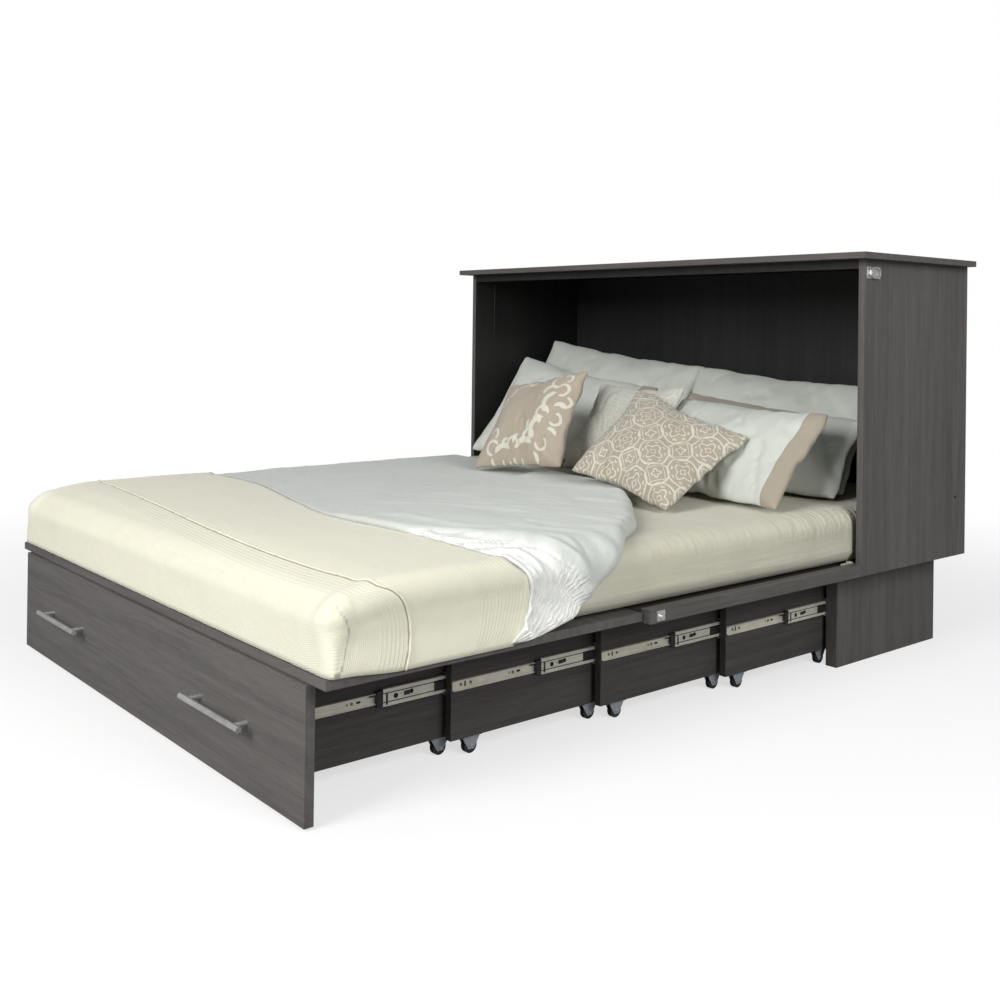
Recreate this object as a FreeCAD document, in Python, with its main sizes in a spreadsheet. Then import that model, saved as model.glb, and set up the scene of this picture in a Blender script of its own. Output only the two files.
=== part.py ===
import FreeCAD, Part

import os
import re

# Queen size cabinet bed, drawn open: a low cabinet holds the head of the mattress, two deck
# boards fold down in front of it, and a telescoping base of nested segments, with a drawer at
# its front end, rolls out under them on casters and ball-bearing slides.
#
# Frame: millimetres, +Z up, floor at z = 0. The foot of the bed points to -Y and the cabinet
# stands at +Y. The origin lies on the floor under the middle of the overall box.

# ---------------------------------------------------------------------------------------------
# Driving sizes
# ---------------------------------------------------------------------------------------------

SIZES = {
    # cabinet
    "front_plane": 543,             # y of the cabinet's front edges
    "cabinet_width": 1640,
    "cabinet_depth": 508,
    "cabinet_base": 250,            # underside of the cabinet sides
    "cabinet_underside": 1062,      # underside of the top board
    "board": 18,
    "top_board": 16,
    "top_side_overhang": 28,
    "top_front_overhang": 41,
    "top_back_inset": 3,
    "back_board": 8,
    "stretcher_height": 24,
    # decks
    "deck_lip": 4,                  # deck underside above the rail underside
    "rail_width": 28,
    "rail_lip": 7.5,                # rail top above the deck top
    "hinge_rise": 0.5,              # deck hinge axis above the rail top
    "fold_clearance": 4.5,          # folded rails to the underside of the top board
    "foot_shortening": 6,           # foot board shorter than the middle one
    "foot_side_inset": 20,
    "deck_setback": 2,              # middle board behind the free ends of its rails
    "fit_gap": 0.5,
    "touch_gap": 0.3,
    # plinth
    "plinth_side_inset": 73,
    "plinth_depth": 470,
    "post_width": 33,
    "post_depth": 30,
    "packing_height": 60,
    # telescoping base
    "front_proud": 8,               # drawer front ahead of the foot board's end
    "drawer_short": 13,             # last step shorter than the other three
    "closing_gap": 1,
    "segment_back_gap": 5,          # pushed-in segment to the plinth's back board
    "tie_board": 12,
    "tie_bottom": 60,
    "tie_top": 230,
    "nest_gap": 3,
    "slide_gap": 13.4,              # between one segment's outer face and the next one's inner face
    "front_board": 19,
    "front_bottom": 5,
    "front_top": 252.8,
    "drawer_floor": 9,
    # ball-bearing slides
    "slide_height": 150,
    "sheet_thickness": 1.2,
    "outer_half": 22.5,
    "middle_half": 17,
    "inner_half": 10.5,
    "flange_gap": 2.4,              # outer and middle flanges to the segment's outer face
    "middle_web": 3.5,
    "inner_gap": 6.5,               # inner flanges to the wall around
    "slide_setback": 2,
    "inner_tail": 10,               # inner member short of its segment's rear end
    "middle_setback": 38,
    "middle_member": 340,
    "cage_length": 70,
    "cage_depth": 4,
    "cage_inset": 1,
    "cage_seat": 0.1,               # cages let into their channel
    # casters
    "wheel_radius": 16,
    "wheel_width": 12,
    "wheel_play": 4,                # wheel to the underside of its fork plate
    "axle_radius": 2.5,
    "caster_plate_width": 27,
    "caster_plate_length": 46,
    "caster_plate": 2,
    "cheek": 1.5,
    "cheek_gap": 1,
    "cheek_half_length": 7,         # at the fork's lower end; the top is as long as the plate
    "cheek_drop": 7,                # cheeks below the axle
    "bolt_end": 1.5,
    "caster_inset": 15,             # wheel centre inboard of the segment's outer face
    "caster_front": 58,
    "caster_rear": 392,
    "drawer_caster_rear": 377,
    # handles
    "handle_centre": 430,
    "handle_length": 256,
    "handle_radius": 6,
    "handle_height": 132,
    "handle_reach": 30,
    "standoff_spacing": 200,
    "standoff_radius": 5,
    # latches
    "latch_pivot": 18,              # bail pivot behind the cabinet's front edges
    "latch_plate_start": 8,
    "latch_plate_end": 66,
    "latch_plate_half": 15,
    "latch_plate": 2,
    "latch_axis": 6,                # bail pivot out from the cabinet side
    "barrel_wall": 1.6,
    "barrel_half": 5,
    "latch_web": 3,
    "bail_wire": 3,
    "bail_play": 2,
    "bail_half": 15,
    "bail_end_half": 8,
    "bail_slope": 13,
    "keeper_from_end": 30,
    "keeper_height": 13,            # knob above the rail underside
    "keeper_plate": 2,
    "keeper_length": 24,
    "keeper_tail": 10,              # plate beyond the knob, towards the free end
    "keeper_margin": 4,
    "knob_radius": 4,
    "knob_reach": 8,
    # hinges
    "leaf": 1.5,
    "leaf_depth": 26,
    "foot_leaf_length": 120,
    "foot_leaf_spacing": 380,
    "foot_knuckle_radius": 2.2,
    "foot_axis_drop": 2,            # fold axis under the deck underside
    "knuckle_gap": 0.3,
    "deck_knuckle_radius": 4,
    "deck_knuckle_length": 8,
    "deck_leaf_length": 40,
    "deck_pin_radius": 2,
    "pin_play": 0.2,
    "hinge_web": 3,
    "hinge_arm": 6,
    "hinge_neck": 2,
    # stays that stop the folded front
    "stay_start": 84,
    "stay_width": 20,
    "stay_drop": 22,                # stay top under the top board
    "stay_length": 198,
    "stay_plate": 2,
    "stay_lip": 6,
    # bedding
    "mattress_side_gap": 29,        # mattress to the cabinet sides' inner faces
    "mattress_thickness": 147,
    "mattress_foot_gap": 12,        # mattress to the foot board's end
    "mattress_head_gap": 8,
    "mattress_rounding": 34,
    "soft_gap": 0.5,
    "cloth": 9,
    "blanket_length": 442,
    "blanket_lift": 3,
    "duvet_depth": 26,
    "duvet_crown": 16,
    "duvet_head": 630,              # back panel to the duvet's head edge, on the left
    "duvet_slant": 540,             # how much further down the bed that edge is on the right
    "duvet_hem_lift": 12.7,         # hem above the mattress underside
    "duvet_hem_slope": 14,
    "duvet_skin": 8,
    "duvet_bulge": 17,
    "duvet_side_length": 296,
    # pillows and cushions: sizes, then each one's middle from the mattress's side and from the
    # back panel
    "pillow_end": 12,
    "pillow_waist": 0.07,           # share that the long sides are drawn in
    "back_left_length": 680,
    "back_left_depth": 450,
    "back_left_loft": 105,
    "back_left_in": 401,
    "back_left_out": 295,
    "back_right_length": 680,
    "back_right_depth": 400,
    "back_right_loft": 105,
    "back_right_in": 451,
    "back_right_out": 221,
    "front_left_length": 640,
    "front_left_depth": 430,
    "front_left_loft": 95,
    "front_left_in": 390,
    "front_left_out": 434,
    "middle_right_length": 600,
    "middle_right_depth": 360,
    "middle_right_loft": 80,
    "middle_right_in": 408,
    "middle_right_out": 382,
    "front_right_length": 560,
    "front_right_depth": 360,
    "front_right_loft": 100,
    "front_right_in": 341,
    "front_right_out": 548,
    "scroll_length": 355,
    "scroll_depth": 355,
    "scroll_loft": 95,
    "scroll_in": 528,
    "scroll_out": 682,
    "pale_length": 370,
    "pale_depth": 370,
    "pale_loft": 90,
    "pale_in": 748,
    "pale_out": 550,
    "lattice_length": 410,
    "lattice_depth": 410,
    "lattice_loft": 100,
    "lattice_in": 428,
    "lattice_out": 762,
}

# Names for places that several sub-parts share, as formulas of the sizes above.
PLACES = {
    "half_width": "cabinet_width / 2",
    "inner_half_width": "cabinet_width / 2 - board",
    "cabinet_back": "front_plane + cabinet_depth",
    "back_face": "front_plane + cabinet_depth - back_board",
    "deck_bottom": "cabinet_base + deck_lip",
    "deck_top": "deck_bottom + board",
    "rail_top": "deck_top + rail_lip",
    "rail_inner": "cabinet_width / 2 - rail_width",
    "hinge_height": "rail_top + hinge_rise",
    "middle_length": "cabinet_underside - hinge_height - fold_clearance",
    "rail_end": "front_plane - middle_length",
    "fold_gap": "2 * (foot_knuckle_radius + knuckle_gap)",
    "fold_y": "rail_end + deck_setback - fold_gap / 2",
    "fold_height": "deck_bottom - foot_axis_drop",
    "foot_end": "2 * fold_y - front_plane + foot_shortening",
    "foot_half": "cabinet_width / 2 - foot_side_inset",
    "plinth_half": "cabinet_width / 2 - plinth_side_inset",
    "plinth_inner": "plinth_half - post_width",
    "plinth_back_face": "front_plane + plinth_depth - board",
    "drawer_face": "foot_end + front_board - front_proud",
    "stage_travel": "(front_plane - drawer_face + drawer_short) / 4",
    "drawer_travel": "stage_travel - drawer_short - closing_gap",
    "segment_length": "plinth_depth - board - segment_back_gap",
    "segment_bottom": "2 * wheel_radius + wheel_play + caster_plate",
    "flange_reach": "slide_gap - flange_gap",
    "inner_reach": "slide_gap - inner_gap",
    "bore_radius": "axle_radius + touch_gap",
    "latch_x": "cabinet_width / 2 + latch_axis",
    "latch_y": "front_plane + latch_pivot",
    "latch_height": "hinge_height + middle_length - keeper_from_end",
    "knob_drop": "hinge_height - cabinet_base - keeper_height",
    "bail_length": "latch_pivot + knob_drop + knob_radius + bail_wire + bail_play",
    "barrel_bore": "0.8 * bail_wire",
    "barrel_radius": "barrel_bore + barrel_wall",
    "deck_pin_hole": "deck_pin_radius + pin_play",
    "stay_top": "cabinet_underside - stay_drop",
    "mattress_half": "inner_half_width - mattress_side_gap",
    "mattress_bottom": "deck_top + touch_gap",
    "mattress_top": "mattress_bottom + mattress_thickness",
    "mattress_foot_y": "foot_end + mattress_foot_gap",
    "blanket_end": "mattress_foot_y + blanket_length",
}

SEGMENT_NAMES = {1: "drawer", 2: "segment_two", 3: "segment_three", 4: "segment_four"}

doc = FreeCAD.newDocument("cabinet_bed")
sheet = doc.addObject("Spreadsheet::Sheet", "Sizes")
for row, (alias, value) in enumerate(SIZES.items(), start=1):
    sheet.set(f"A{row}", alias)
    sheet.set(f"B{row}", str(value))
    sheet.setAlias(f"B{row}", alias)
doc.recompute()

NODES = []


# ---------------------------------------------------------------------------------------------
# Helpers
# ---------------------------------------------------------------------------------------------

def formula(text):
    """Spell a formula out in the sheet's cells."""
    def spell(match):
        word = match.group()
        if word in PLACES:
            return f"({formula(PLACES[word])})"
        return f"Sizes.{word}" if word in SIZES else word
    return re.sub(r"[a-z_]+", spell, str(text))


def size(text):
    """Value of a formula, for shapes that are set in code."""
    def value(match):
        word = match.group()
        return f"({size(PLACES[word]) if word in PLACES else float(getattr(sheet, word))})"
    return FreeCAD.Units.Quantity(re.sub(r"[a-z_]+", value, text)).Value


def place(obj, **where):
    """Bind an object's position to formulas."""
    for axis, text in where.items():
        obj.setExpression(f"Placement.Base.{axis}", formula(text))
    return obj


def block(name, x_span, y_span, z_span):
    """A box between two formulas on each axis."""
    obj = doc.addObject("Part::Box", name)
    for size_name, span in zip(("Length", "Width", "Height"), (x_span, y_span, z_span)):
        obj.setExpression(size_name, formula(f"({span[1]}) - ({span[0]})"))
    return place(obj, x=x_span[0], y=y_span[0], z=z_span[0])


def rod(name, radius, length, x, y, z, along="X"):
    """A cylinder that starts at a point and runs along an axis."""
    obj = doc.addObject("Part::Cylinder", name)
    obj.setExpression("Radius", formula(radius))
    obj.setExpression("Height", formula(length))
    turns = {"X": (FreeCAD.Vector(0, 1, 0), 90), "Y": (FreeCAD.Vector(1, 0, 0), -90),
             "Z": (FreeCAD.Vector(0, 0, 1), 0)}
    obj.Placement = FreeCAD.Placement(FreeCAD.Vector(), FreeCAD.Rotation(*turns[along]))
    return place(obj, x=x, y=y, z=z)


def fused(name, pieces):
    """Several touching shapes made one."""
    obj = doc.addObject("Part::MultiFuse", name)
    obj.Shapes = pieces
    obj.Refine = True
    return obj


def cut(name, base, tool):
    """One shape less another."""
    obj = doc.addObject("Part::Cut", name)
    obj.Base = base
    obj.Tool = tool
    return obj


def mirrored(name, source):
    """The same shape on the bed's other side."""
    obj = doc.addObject("Part::Mirroring", name)
    obj.Source = source
    obj.Normal = FreeCAD.Vector(1, 0, 0)
    obj.Base = FreeCAD.Vector(0, 0, 0)
    return obj


def group(name, pieces):
    """Like pieces of one body, kept apart as solids of one sub-part."""
    obj = doc.addObject("Part::Compound", name)
    obj.Links = pieces
    return obj


def pair(name, source):
    """A piece and its mirror image as one sub-part."""
    return group(name, [source, mirrored(f"{name}_far", source)])


def node(obj, name):
    """Register a sub-part under its own name."""
    obj.Label = name
    NODES.append(obj)
    return obj


def profile(body_name, points, depth):
    """A straight-sided outline on the YZ plane, padded along X."""
    body = doc.addObject("PartDesign::Body", body_name)
    sketch = body.newObject("Sketcher::SketchObject", f"{body_name}_outline")
    plane = next(p for p in body.Origin.OriginFeatures if p.Role == "YZ_Plane")
    sketch.AttachmentSupport = [(plane, "")]
    sketch.MapMode = "FlatFace"
    for ring in points:
        for start, end in zip(ring, ring[1:] + ring[:1]):
            sketch.addGeometry(Part.LineSegment(FreeCAD.Vector(*start, 0), FreeCAD.Vector(*end, 0)))
    pad = body.newObject("PartDesign::Pad", f"{body_name}_pad")
    pad.Profile = sketch
    pad.Midplane = True
    pad.setExpression("Length", formula(depth))
    return body


# ---------------------------------------------------------------------------------------------
# Cabinet
# ---------------------------------------------------------------------------------------------

def cabinet():
    """Sides, top, back, stretcher and the deck board under the head of the mattress."""
    span_y = ("front_plane", "cabinet_back")
    span_z = ("cabinet_base", "cabinet_underside")
    right = block("cabinet_side_right", ("inner_half_width", "half_width"), span_y, span_z)
    left = block("cabinet_side_left", ("-half_width", "-inner_half_width"), span_y, span_z)
    node(right, "cabinet_side_right")
    node(left, "cabinet_side_left")
    node(block("cabinet_top", ("-half_width - top_side_overhang", "half_width + top_side_overhang"),
               ("front_plane - top_front_overhang", "cabinet_back - top_back_inset"),
               ("cabinet_underside", "cabinet_underside + top_board")), "cabinet_top")
    node(block("cabinet_back", ("-inner_half_width", "inner_half_width"),
               ("back_face", "cabinet_back"), ("cabinet_base", "cabinet_underside")), "cabinet_back")
    node(block("top_stretcher", ("-inner_half_width", "inner_half_width"),
               ("front_plane + fit_gap", "front_plane + fit_gap + board"),
               ("cabinet_underside - stretcher_height", "cabinet_underside")), "top_stretcher")
    node(block("head_deck", ("-inner_half_width", "inner_half_width"),
               ("front_plane + fit_gap", "back_face"), ("deck_bottom", "deck_top")), "head_deck")


def plinth():
    """Two sides with a front post and a slide packing each, and the board across the back."""
    board = block("plinth_board", ("plinth_half - board", "plinth_half"),
                  ("front_plane", "front_plane + plinth_depth"), ("0", "deck_bottom"))
    post = block("plinth_post", ("plinth_inner", "plinth_half - board"),
                 ("front_plane", "front_plane + post_depth"), ("0", "deck_bottom"))
    packing = block("plinth_packing", ("plinth_inner", "plinth_half - board"),
                    ("front_plane + post_depth", "plinth_back_face"),
                    ("slide_height - packing_height / 2", "slide_height + packing_height / 2"))
    node(pair("plinth_sides", fused("plinth_side", [board, post, packing])), "plinth_sides")
    node(block("plinth_back", ("-plinth_half + board", "plinth_half - board"),
               ("plinth_back_face", "front_plane + plinth_depth"), ("0", "deck_bottom")), "plinth_back")


def stays():
    """Slim angles on the inner walls that the mattress strap and the folded front rest on."""
    span_z = ("stay_top - stay_length", "stay_top")
    start = "front_plane + stay_start"
    plate = block("stay_wall_leg", ("inner_half_width - stay_plate", "inner_half_width"),
                  (start, f"{start} + stay_width"), span_z)
    lip = block("stay_free_leg", ("inner_half_width - stay_lip", "inner_half_width - stay_plate"),
                (start, f"{start} + stay_plate"), span_z)
    node(pair("wall_stays", fused("wall_stay", [plate, lip])), "wall_stays")


# ---------------------------------------------------------------------------------------------
# Decks
# ---------------------------------------------------------------------------------------------

def decks():
    """Middle board with its two side rails, and the foot board."""
    y_middle = ("rail_end + deck_setback", "front_plane - fit_gap")
    node(block("middle_deck", ("-rail_inner", "rail_inner"), y_middle, ("deck_bottom", "deck_top")),
         "middle_deck")
    y_rail = ("rail_end", "front_plane - fit_gap")
    z_rail = ("cabinet_base", "rail_top")
    node(block("rail_right", ("rail_inner", "half_width"), y_rail, z_rail), "rail_right")
    node(block("rail_left", ("-half_width", "-rail_inner"), y_rail, z_rail), "rail_left")
    node(block("foot_deck", ("-foot_half", "foot_half"), ("foot_end", "fold_y - fold_gap / 2"),
               ("deck_bottom", "deck_top")), "foot_deck")


def fold_hinges():
    """Butt hinges under the boards, with three knuckles each, that let the foot board fold."""
    bend = "(foot_knuckle_radius + knuckle_gap)"
    middle = []
    foot = []
    knuckle = "foot_leaf_length / 5"
    for index in (-1, 0, 1):
        start = f"{index} * foot_leaf_spacing - foot_leaf_length / 2"
        leaf_x = (start, f"{start} + foot_leaf_length")
        leaf_z = ("deck_bottom - leaf", "deck_bottom")
        far = block(f"fold_leaf_middle_{index + 2}", leaf_x,
                    (f"fold_y + {bend}", "fold_y + leaf_depth"), leaf_z)
        near = block(f"fold_leaf_foot_{index + 2}", leaf_x,
                     ("fold_y - leaf_depth", f"fold_y - {bend}"), leaf_z)
        middle_knuckles = [far]
        foot_knuckles = [near]
        for slot in range(5):
            inward = slot % 2 == 0
            owner = middle_knuckles if inward else foot_knuckles
            x_start = f"{start} + {slot} * {knuckle} + touch_gap / 2"
            name = f"fold_knuckle_{index + 2}_{slot + 1}"
            owner.append(rod(name, "foot_knuckle_radius", f"{knuckle} - touch_gap", x_start,
                             "fold_y", "fold_height"))
            web = ("fold_y", f"fold_y + {bend}") if inward else (f"fold_y - {bend}", "fold_y")
            owner.append(block(f"{name}_web", (x_start, f"{x_start} + {knuckle} - touch_gap"), web,
                               ("fold_height + foot_knuckle_radius - leaf", "deck_bottom")))
        middle.append(fused(f"fold_hinge_middle_{index + 2}", middle_knuckles))
        foot.append(fused(f"fold_hinge_foot_{index + 2}", foot_knuckles))
    node(group("fold_hinge_middle", middle), "fold_hinge_middle")
    node(group("fold_hinge_foot", foot), "fold_hinge_foot")


def deck_hinges():
    """Side hinges: a pin on the rail's inner face turns in a bracket on the head deck."""
    top = "hinge_height"
    inner = "rail_inner - 2 * deck_knuckle_length - 2 * touch_gap"
    leaf = block("deck_hinge_leaf", ("rail_inner - leaf", "rail_inner"),
                 ("front_plane - deck_leaf_length", "front_plane - deck_knuckle_radius"),
                 ("deck_top", "rail_top"))
    ear = rod("deck_hinge_ear", "deck_knuckle_radius", "deck_knuckle_length",
              "rail_inner - deck_knuckle_length", "front_plane", top)
    neck = block("deck_hinge_neck", ("rail_inner - deck_knuckle_length", "rail_inner"),
                 ("front_plane - deck_knuckle_radius - hinge_neck", "front_plane"),
                 (f"{top} - hinge_web / 2", f"{top} + hinge_web / 2"))
    web = block("deck_hinge_web", ("rail_inner - deck_knuckle_length", "rail_inner"),
                ("front_plane - deck_leaf_length",
                 "front_plane - deck_knuckle_radius - hinge_neck / 2"),
                (f"{top} - hinge_web", f"{top} + hinge_web / 2"))
    pin = rod("deck_hinge_pin", "deck_pin_radius", "deck_knuckle_length * 2",
              "rail_inner - deck_knuckle_length * 2", "front_plane", top)
    node(pair("deck_hinge_moving", fused("deck_hinge_moving_one", [leaf, ear, neck, web, pin])),
         "deck_hinge_moving")
    bracket = block("deck_hinge_bracket", (inner, f"{inner} + deck_knuckle_length"),
                    ("front_plane + fit_gap", "front_plane + deck_leaf_length"),
                    ("deck_top", "deck_top + hinge_web"))
    boss = rod("deck_hinge_boss", "deck_knuckle_radius", "deck_knuckle_length", inner,
               "front_plane", top)
    arm = block("deck_hinge_arm", (inner, f"{inner} + deck_knuckle_length"),
                ("front_plane + fit_gap", "front_plane + deck_knuckle_radius + hinge_arm"),
                ("deck_top", f"{top} + hinge_neck"))
    bore = rod("deck_hinge_bore", "deck_pin_hole", "2 * deck_knuckle_length",
               f"{inner} - deck_knuckle_length / 2", "front_plane", top)
    bracket_solid = fused("deck_hinge_bracket_solid", [bracket, boss, arm])
    node(pair("deck_hinge_fixed", cut("deck_hinge_fixed_one", bracket_solid, bore)),
         "deck_hinge_fixed")


# ---------------------------------------------------------------------------------------------
# Telescoping base
# ---------------------------------------------------------------------------------------------

def outer_face(number):
    """x of a segment's outer face. Number 5 is the plinth, seen from inside."""
    return f"plinth_inner - slide_gap - {4 - number} * (board + slide_gap)"


def segment_front(number):
    """y of a segment's front edges; the drawer's is the back face of its front board."""
    if number == 1:
        return "drawer_face"
    return f"front_plane - {5 - number} * stage_travel"


def segment_length(number):
    """Each segment stops short of the cross board of the one around it."""
    length = f"segment_length - {4 - number} * (tie_board + nest_gap)"
    return f"{length} - closing_gap" if number == 1 else length


def segment(number):
    """A pair of side boards with the cross board at their rear ends."""
    name = SEGMENT_NAMES[number]
    front = segment_front(number)
    rear = f"{front} + {segment_length(number)}"
    outer = outer_face(number)
    side = block(f"{name}_side", (f"{outer} - board", outer), (front, rear),
                 ("segment_bottom", "deck_bottom - touch_gap"))
    node(pair(f"{name}_sides", side), f"{name}_sides")
    node(block(f"{name}_cross_board", (f"-({outer}) + board", f"{outer} - board"),
               (f"{rear} - tie_board", rear), ("tie_bottom", "tie_top")), f"{name}_cross_board")


def drawer():
    """Front board, floor and the two bar handles of the drawer at the end of the base."""
    outer = outer_face(1)
    node(block("drawer_front", ("-plinth_half", "plinth_half"),
               ("drawer_face - front_board", "drawer_face"), ("front_bottom", "front_top")),
         "drawer_front")
    node(block("drawer_floor", (f"-({outer}) + board", f"{outer} - board"),
               ("drawer_face", f"drawer_face + {segment_length(1)} - tie_board"),
               ("tie_bottom", "tie_bottom + drawer_floor")), "drawer_floor")
    bar_y = "drawer_face - front_board - handle_reach"
    bar = rod("handle_bar", "handle_radius", "handle_length", "handle_centre - handle_length / 2",
              bar_y, "handle_height")
    posts = [rod(f"handle_post_{side}", "standoff_radius", "handle_reach",
                 f"handle_centre {sign} standoff_spacing / 2", bar_y, "handle_height", "Y")
             for side, sign in (("near", "-"), ("far", "+"))]
    node(pair("drawer_handles", fused("drawer_handle", [bar] + posts)), "drawer_handles")


def channel(name, web_x, flange_x, half, y_span):
    """A steel channel: a web with a flange along its top and bottom."""
    top = "slide_height"
    web = block(f"{name}_web", web_x, y_span, (f"{top} - {half}", f"{top} + {half}"))
    upper = block(f"{name}_upper", flange_x, y_span,
                  (f"{top} + {half} - sheet_thickness", f"{top} + {half}"))
    lower = block(f"{name}_lower", flange_x, y_span,
                  (f"{top} - {half}", f"{top} - {half} + sheet_thickness"))
    return [web, upper, lower]


def outer_member(number):
    """Channel on the inner face around segment number, which its middle member runs in."""
    wall = f"{outer_face(number)} + slide_gap"
    front = "front_plane" if number == 4 else segment_front(number + 1)
    length = "plinth_depth - board" if number == 4 else segment_length(number + 1)
    y_span = (f"{front} + slide_setback", f"{front} + {length} - tie_board - slide_setback")
    return fused(f"slide_outer_{number}",
                 channel(f"slide_outer_{number}", (f"{wall} - sheet_thickness", wall),
                         (f"{wall} - flange_reach", wall), "outer_half", y_span))


def inner_member(number):
    """Narrow channel on a segment's outer face."""
    face = outer_face(number)
    front = segment_front(number)
    y_span = (f"{front} + slide_setback", f"{front} + {segment_length(number)} - inner_tail")
    return fused(f"slide_inner_{number}",
                 channel(f"slide_inner_{number}", (face, f"{face} + sheet_thickness"),
                         (face, f"{face} + inner_reach"), "inner_half", y_span))


def middle_member(number):
    """Channel between the two, half way out, with the ball cages that it carries."""
    wall = f"{outer_face(number)} + slide_gap"
    front = "front_plane" if number == 4 else segment_front(number + 1)
    travel = "drawer_travel" if number == 1 else "stage_travel"
    start = f"{front} + middle_setback - {travel} / 2"
    y_span = (start, f"{start} + middle_member")
    web_x = (f"{wall} - middle_web - sheet_thickness", f"{wall} - middle_web")
    flange_x = (f"{wall} - flange_reach", f"{wall} - middle_web")
    name = f"slide_middle_{number}"
    pieces = channel(name, web_x, flange_x, "middle_half", y_span)
    cage_start = f"{wall} - flange_reach + cage_inset"
    cage_x = (cage_start, f"{cage_start} + cage_depth")
    rear_y = (f"{y_span[1]} - cage_length - middle_setback", f"{y_span[1]} - middle_setback")
    front_y = (f"{start} + cage_depth", f"{start} + cage_depth + cage_length")
    bands = {"over": ("middle_half - cage_seat", "outer_half - sheet_thickness - touch_gap", rear_y),
             "under": ("inner_half + touch_gap", "middle_half - sheet_thickness + cage_seat",
                       front_y)}
    for band, (low, high, y_cage) in bands.items():
        pieces.append(block(f"{name}_{band}_top", cage_x, y_cage,
                            (f"slide_height + {low}", f"slide_height + {high}")))
        pieces.append(block(f"{name}_{band}_bottom", cage_x, y_cage,
                            (f"slide_height - ({high})", f"slide_height - ({low})")))
    return fused(name, pieces)


def slides():
    """Three-member slides: each body carries its own channels, the middle ones ride between."""
    for number in range(1, 5):
        inner = inner_member(number)
        carried = [inner, mirrored(f"{inner.Name}_far", inner)]
        if number > 1:
            outer = outer_member(number - 1)
            carried += [outer, mirrored(f"{outer.Name}_far", outer)]
        name = f"{SEGMENT_NAMES[number]}_slides"
        node(group(name, carried), name)
        node(pair(f"runner_{number}", middle_member(number)), f"runner_{number}")
    node(pair("plinth_slides", outer_member(4)), "plinth_slides")


def cheek(name, x, y):
    """One side of a fork: as long as the plate at its top and narrow about the axle."""
    obj = doc.addObject("Part::Wedge", name)
    low = "wheel_radius - cheek_drop"
    spans = {"Xmin": "0", "Xmax": "cheek", "X2min": "0", "X2max": "cheek", "Ymin": "0",
             "Ymax": f"segment_bottom - caster_plate - ({low})",
             "Zmin": "-cheek_half_length", "Zmax": "cheek_half_length",
             "Z2min": "-caster_plate_length / 2", "Z2max": "caster_plate_length / 2"}
    for property_name, text in spans.items():
        obj.setExpression(property_name, formula(text))
    obj.Placement = FreeCAD.Placement(FreeCAD.Vector(),
                                      FreeCAD.Rotation(FreeCAD.Vector(1, 0, 0), 90))
    return place(obj, x=x, y=y, z=low)


def caster(name, x, y):
    """Rigid caster fork: a plate, two cheeks and the axle bolt."""
    half = "(wheel_width / 2 + cheek_gap)"
    plate = block(f"{name}_plate", (f"{x} - caster_plate_width / 2", f"{x} + caster_plate_width / 2"),
                  (f"{y} - caster_plate_length / 2", f"{y} + caster_plate_length / 2"),
                  ("segment_bottom - caster_plate", "segment_bottom"))
    cheeks = [cheek(f"{name}_cheek_{side}", start, y)
              for side, start in (("in", f"{x} - {half} - cheek"), ("out", f"{x} + {half}"))]
    bolt = rod(f"{name}_bolt", "axle_radius", f"2 * ({half} + cheek + bolt_end)",
               f"{x} - {half} - cheek - bolt_end", y, "wheel_radius")
    return fused(name, [plate] + cheeks + [bolt])


def wheel(name, x, y):
    """Plain wheel with a running bore."""
    tread = rod(f"{name}_tread", "wheel_radius", "wheel_width", f"{x} - wheel_width / 2", y,
                "wheel_radius")
    bore = rod(f"{name}_bore", "bore_radius", "2 * wheel_width", f"{x} - wheel_width", y,
               "wheel_radius")
    return cut(name, tread, bore)


def casters():
    """Two pairs of casters under each segment; a pair's wheels share one axle line."""
    for number in range(1, 5):
        segment_name = SEGMENT_NAMES[number]
        x = f"({outer_face(number)} - caster_inset)"
        front = segment_front(number)
        rear = "drawer_caster_rear" if number == 1 else "caster_rear"
        forks = []
        for end, setback in (("front", "caster_front"), ("rear", rear)):
            y = f"({front} + {setback})"
            fork = caster(f"{segment_name}_fork_{end}", x, y)
            forks += [fork, mirrored(f"{fork.Name}_far", fork)]
            name = f"{segment_name}_wheels_{end}"
            node(pair(name, wheel(f"{name}_one", x, y)), name)
        node(group(f"{segment_name}_casters", forks), f"{segment_name}_casters")


# ---------------------------------------------------------------------------------------------
# Latches
# ---------------------------------------------------------------------------------------------

def latch_plates():
    """Plate on each cabinet side with the barrel that the bail turns in."""
    plate = block("latch_plate_one", ("half_width", "half_width + latch_plate"),
                  ("front_plane + latch_plate_start", "front_plane + latch_plate_end"),
                  ("latch_height - latch_plate_half", "latch_height + latch_plate_half"))
    barrel = rod("latch_barrel", "barrel_radius", "2 * barrel_half", "latch_x", "latch_y",
                 "latch_height - barrel_half", "Z")
    web = block("latch_rib", ("half_width + latch_plate / 2", "latch_x"),
                ("latch_y - latch_web / 2", "latch_y + latch_web / 2"),
                ("latch_height - barrel_half", "latch_height + barrel_half"))
    hole = rod("latch_hole", "barrel_bore", "4 * barrel_half", "latch_x", "latch_y",
               "latch_height - 2 * barrel_half", "Z")
    solid = fused("latch_solid", [plate, barrel, web])
    node(pair("latch_plates", cut("latch_base", solid, hole)), "latch_plates")


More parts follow.
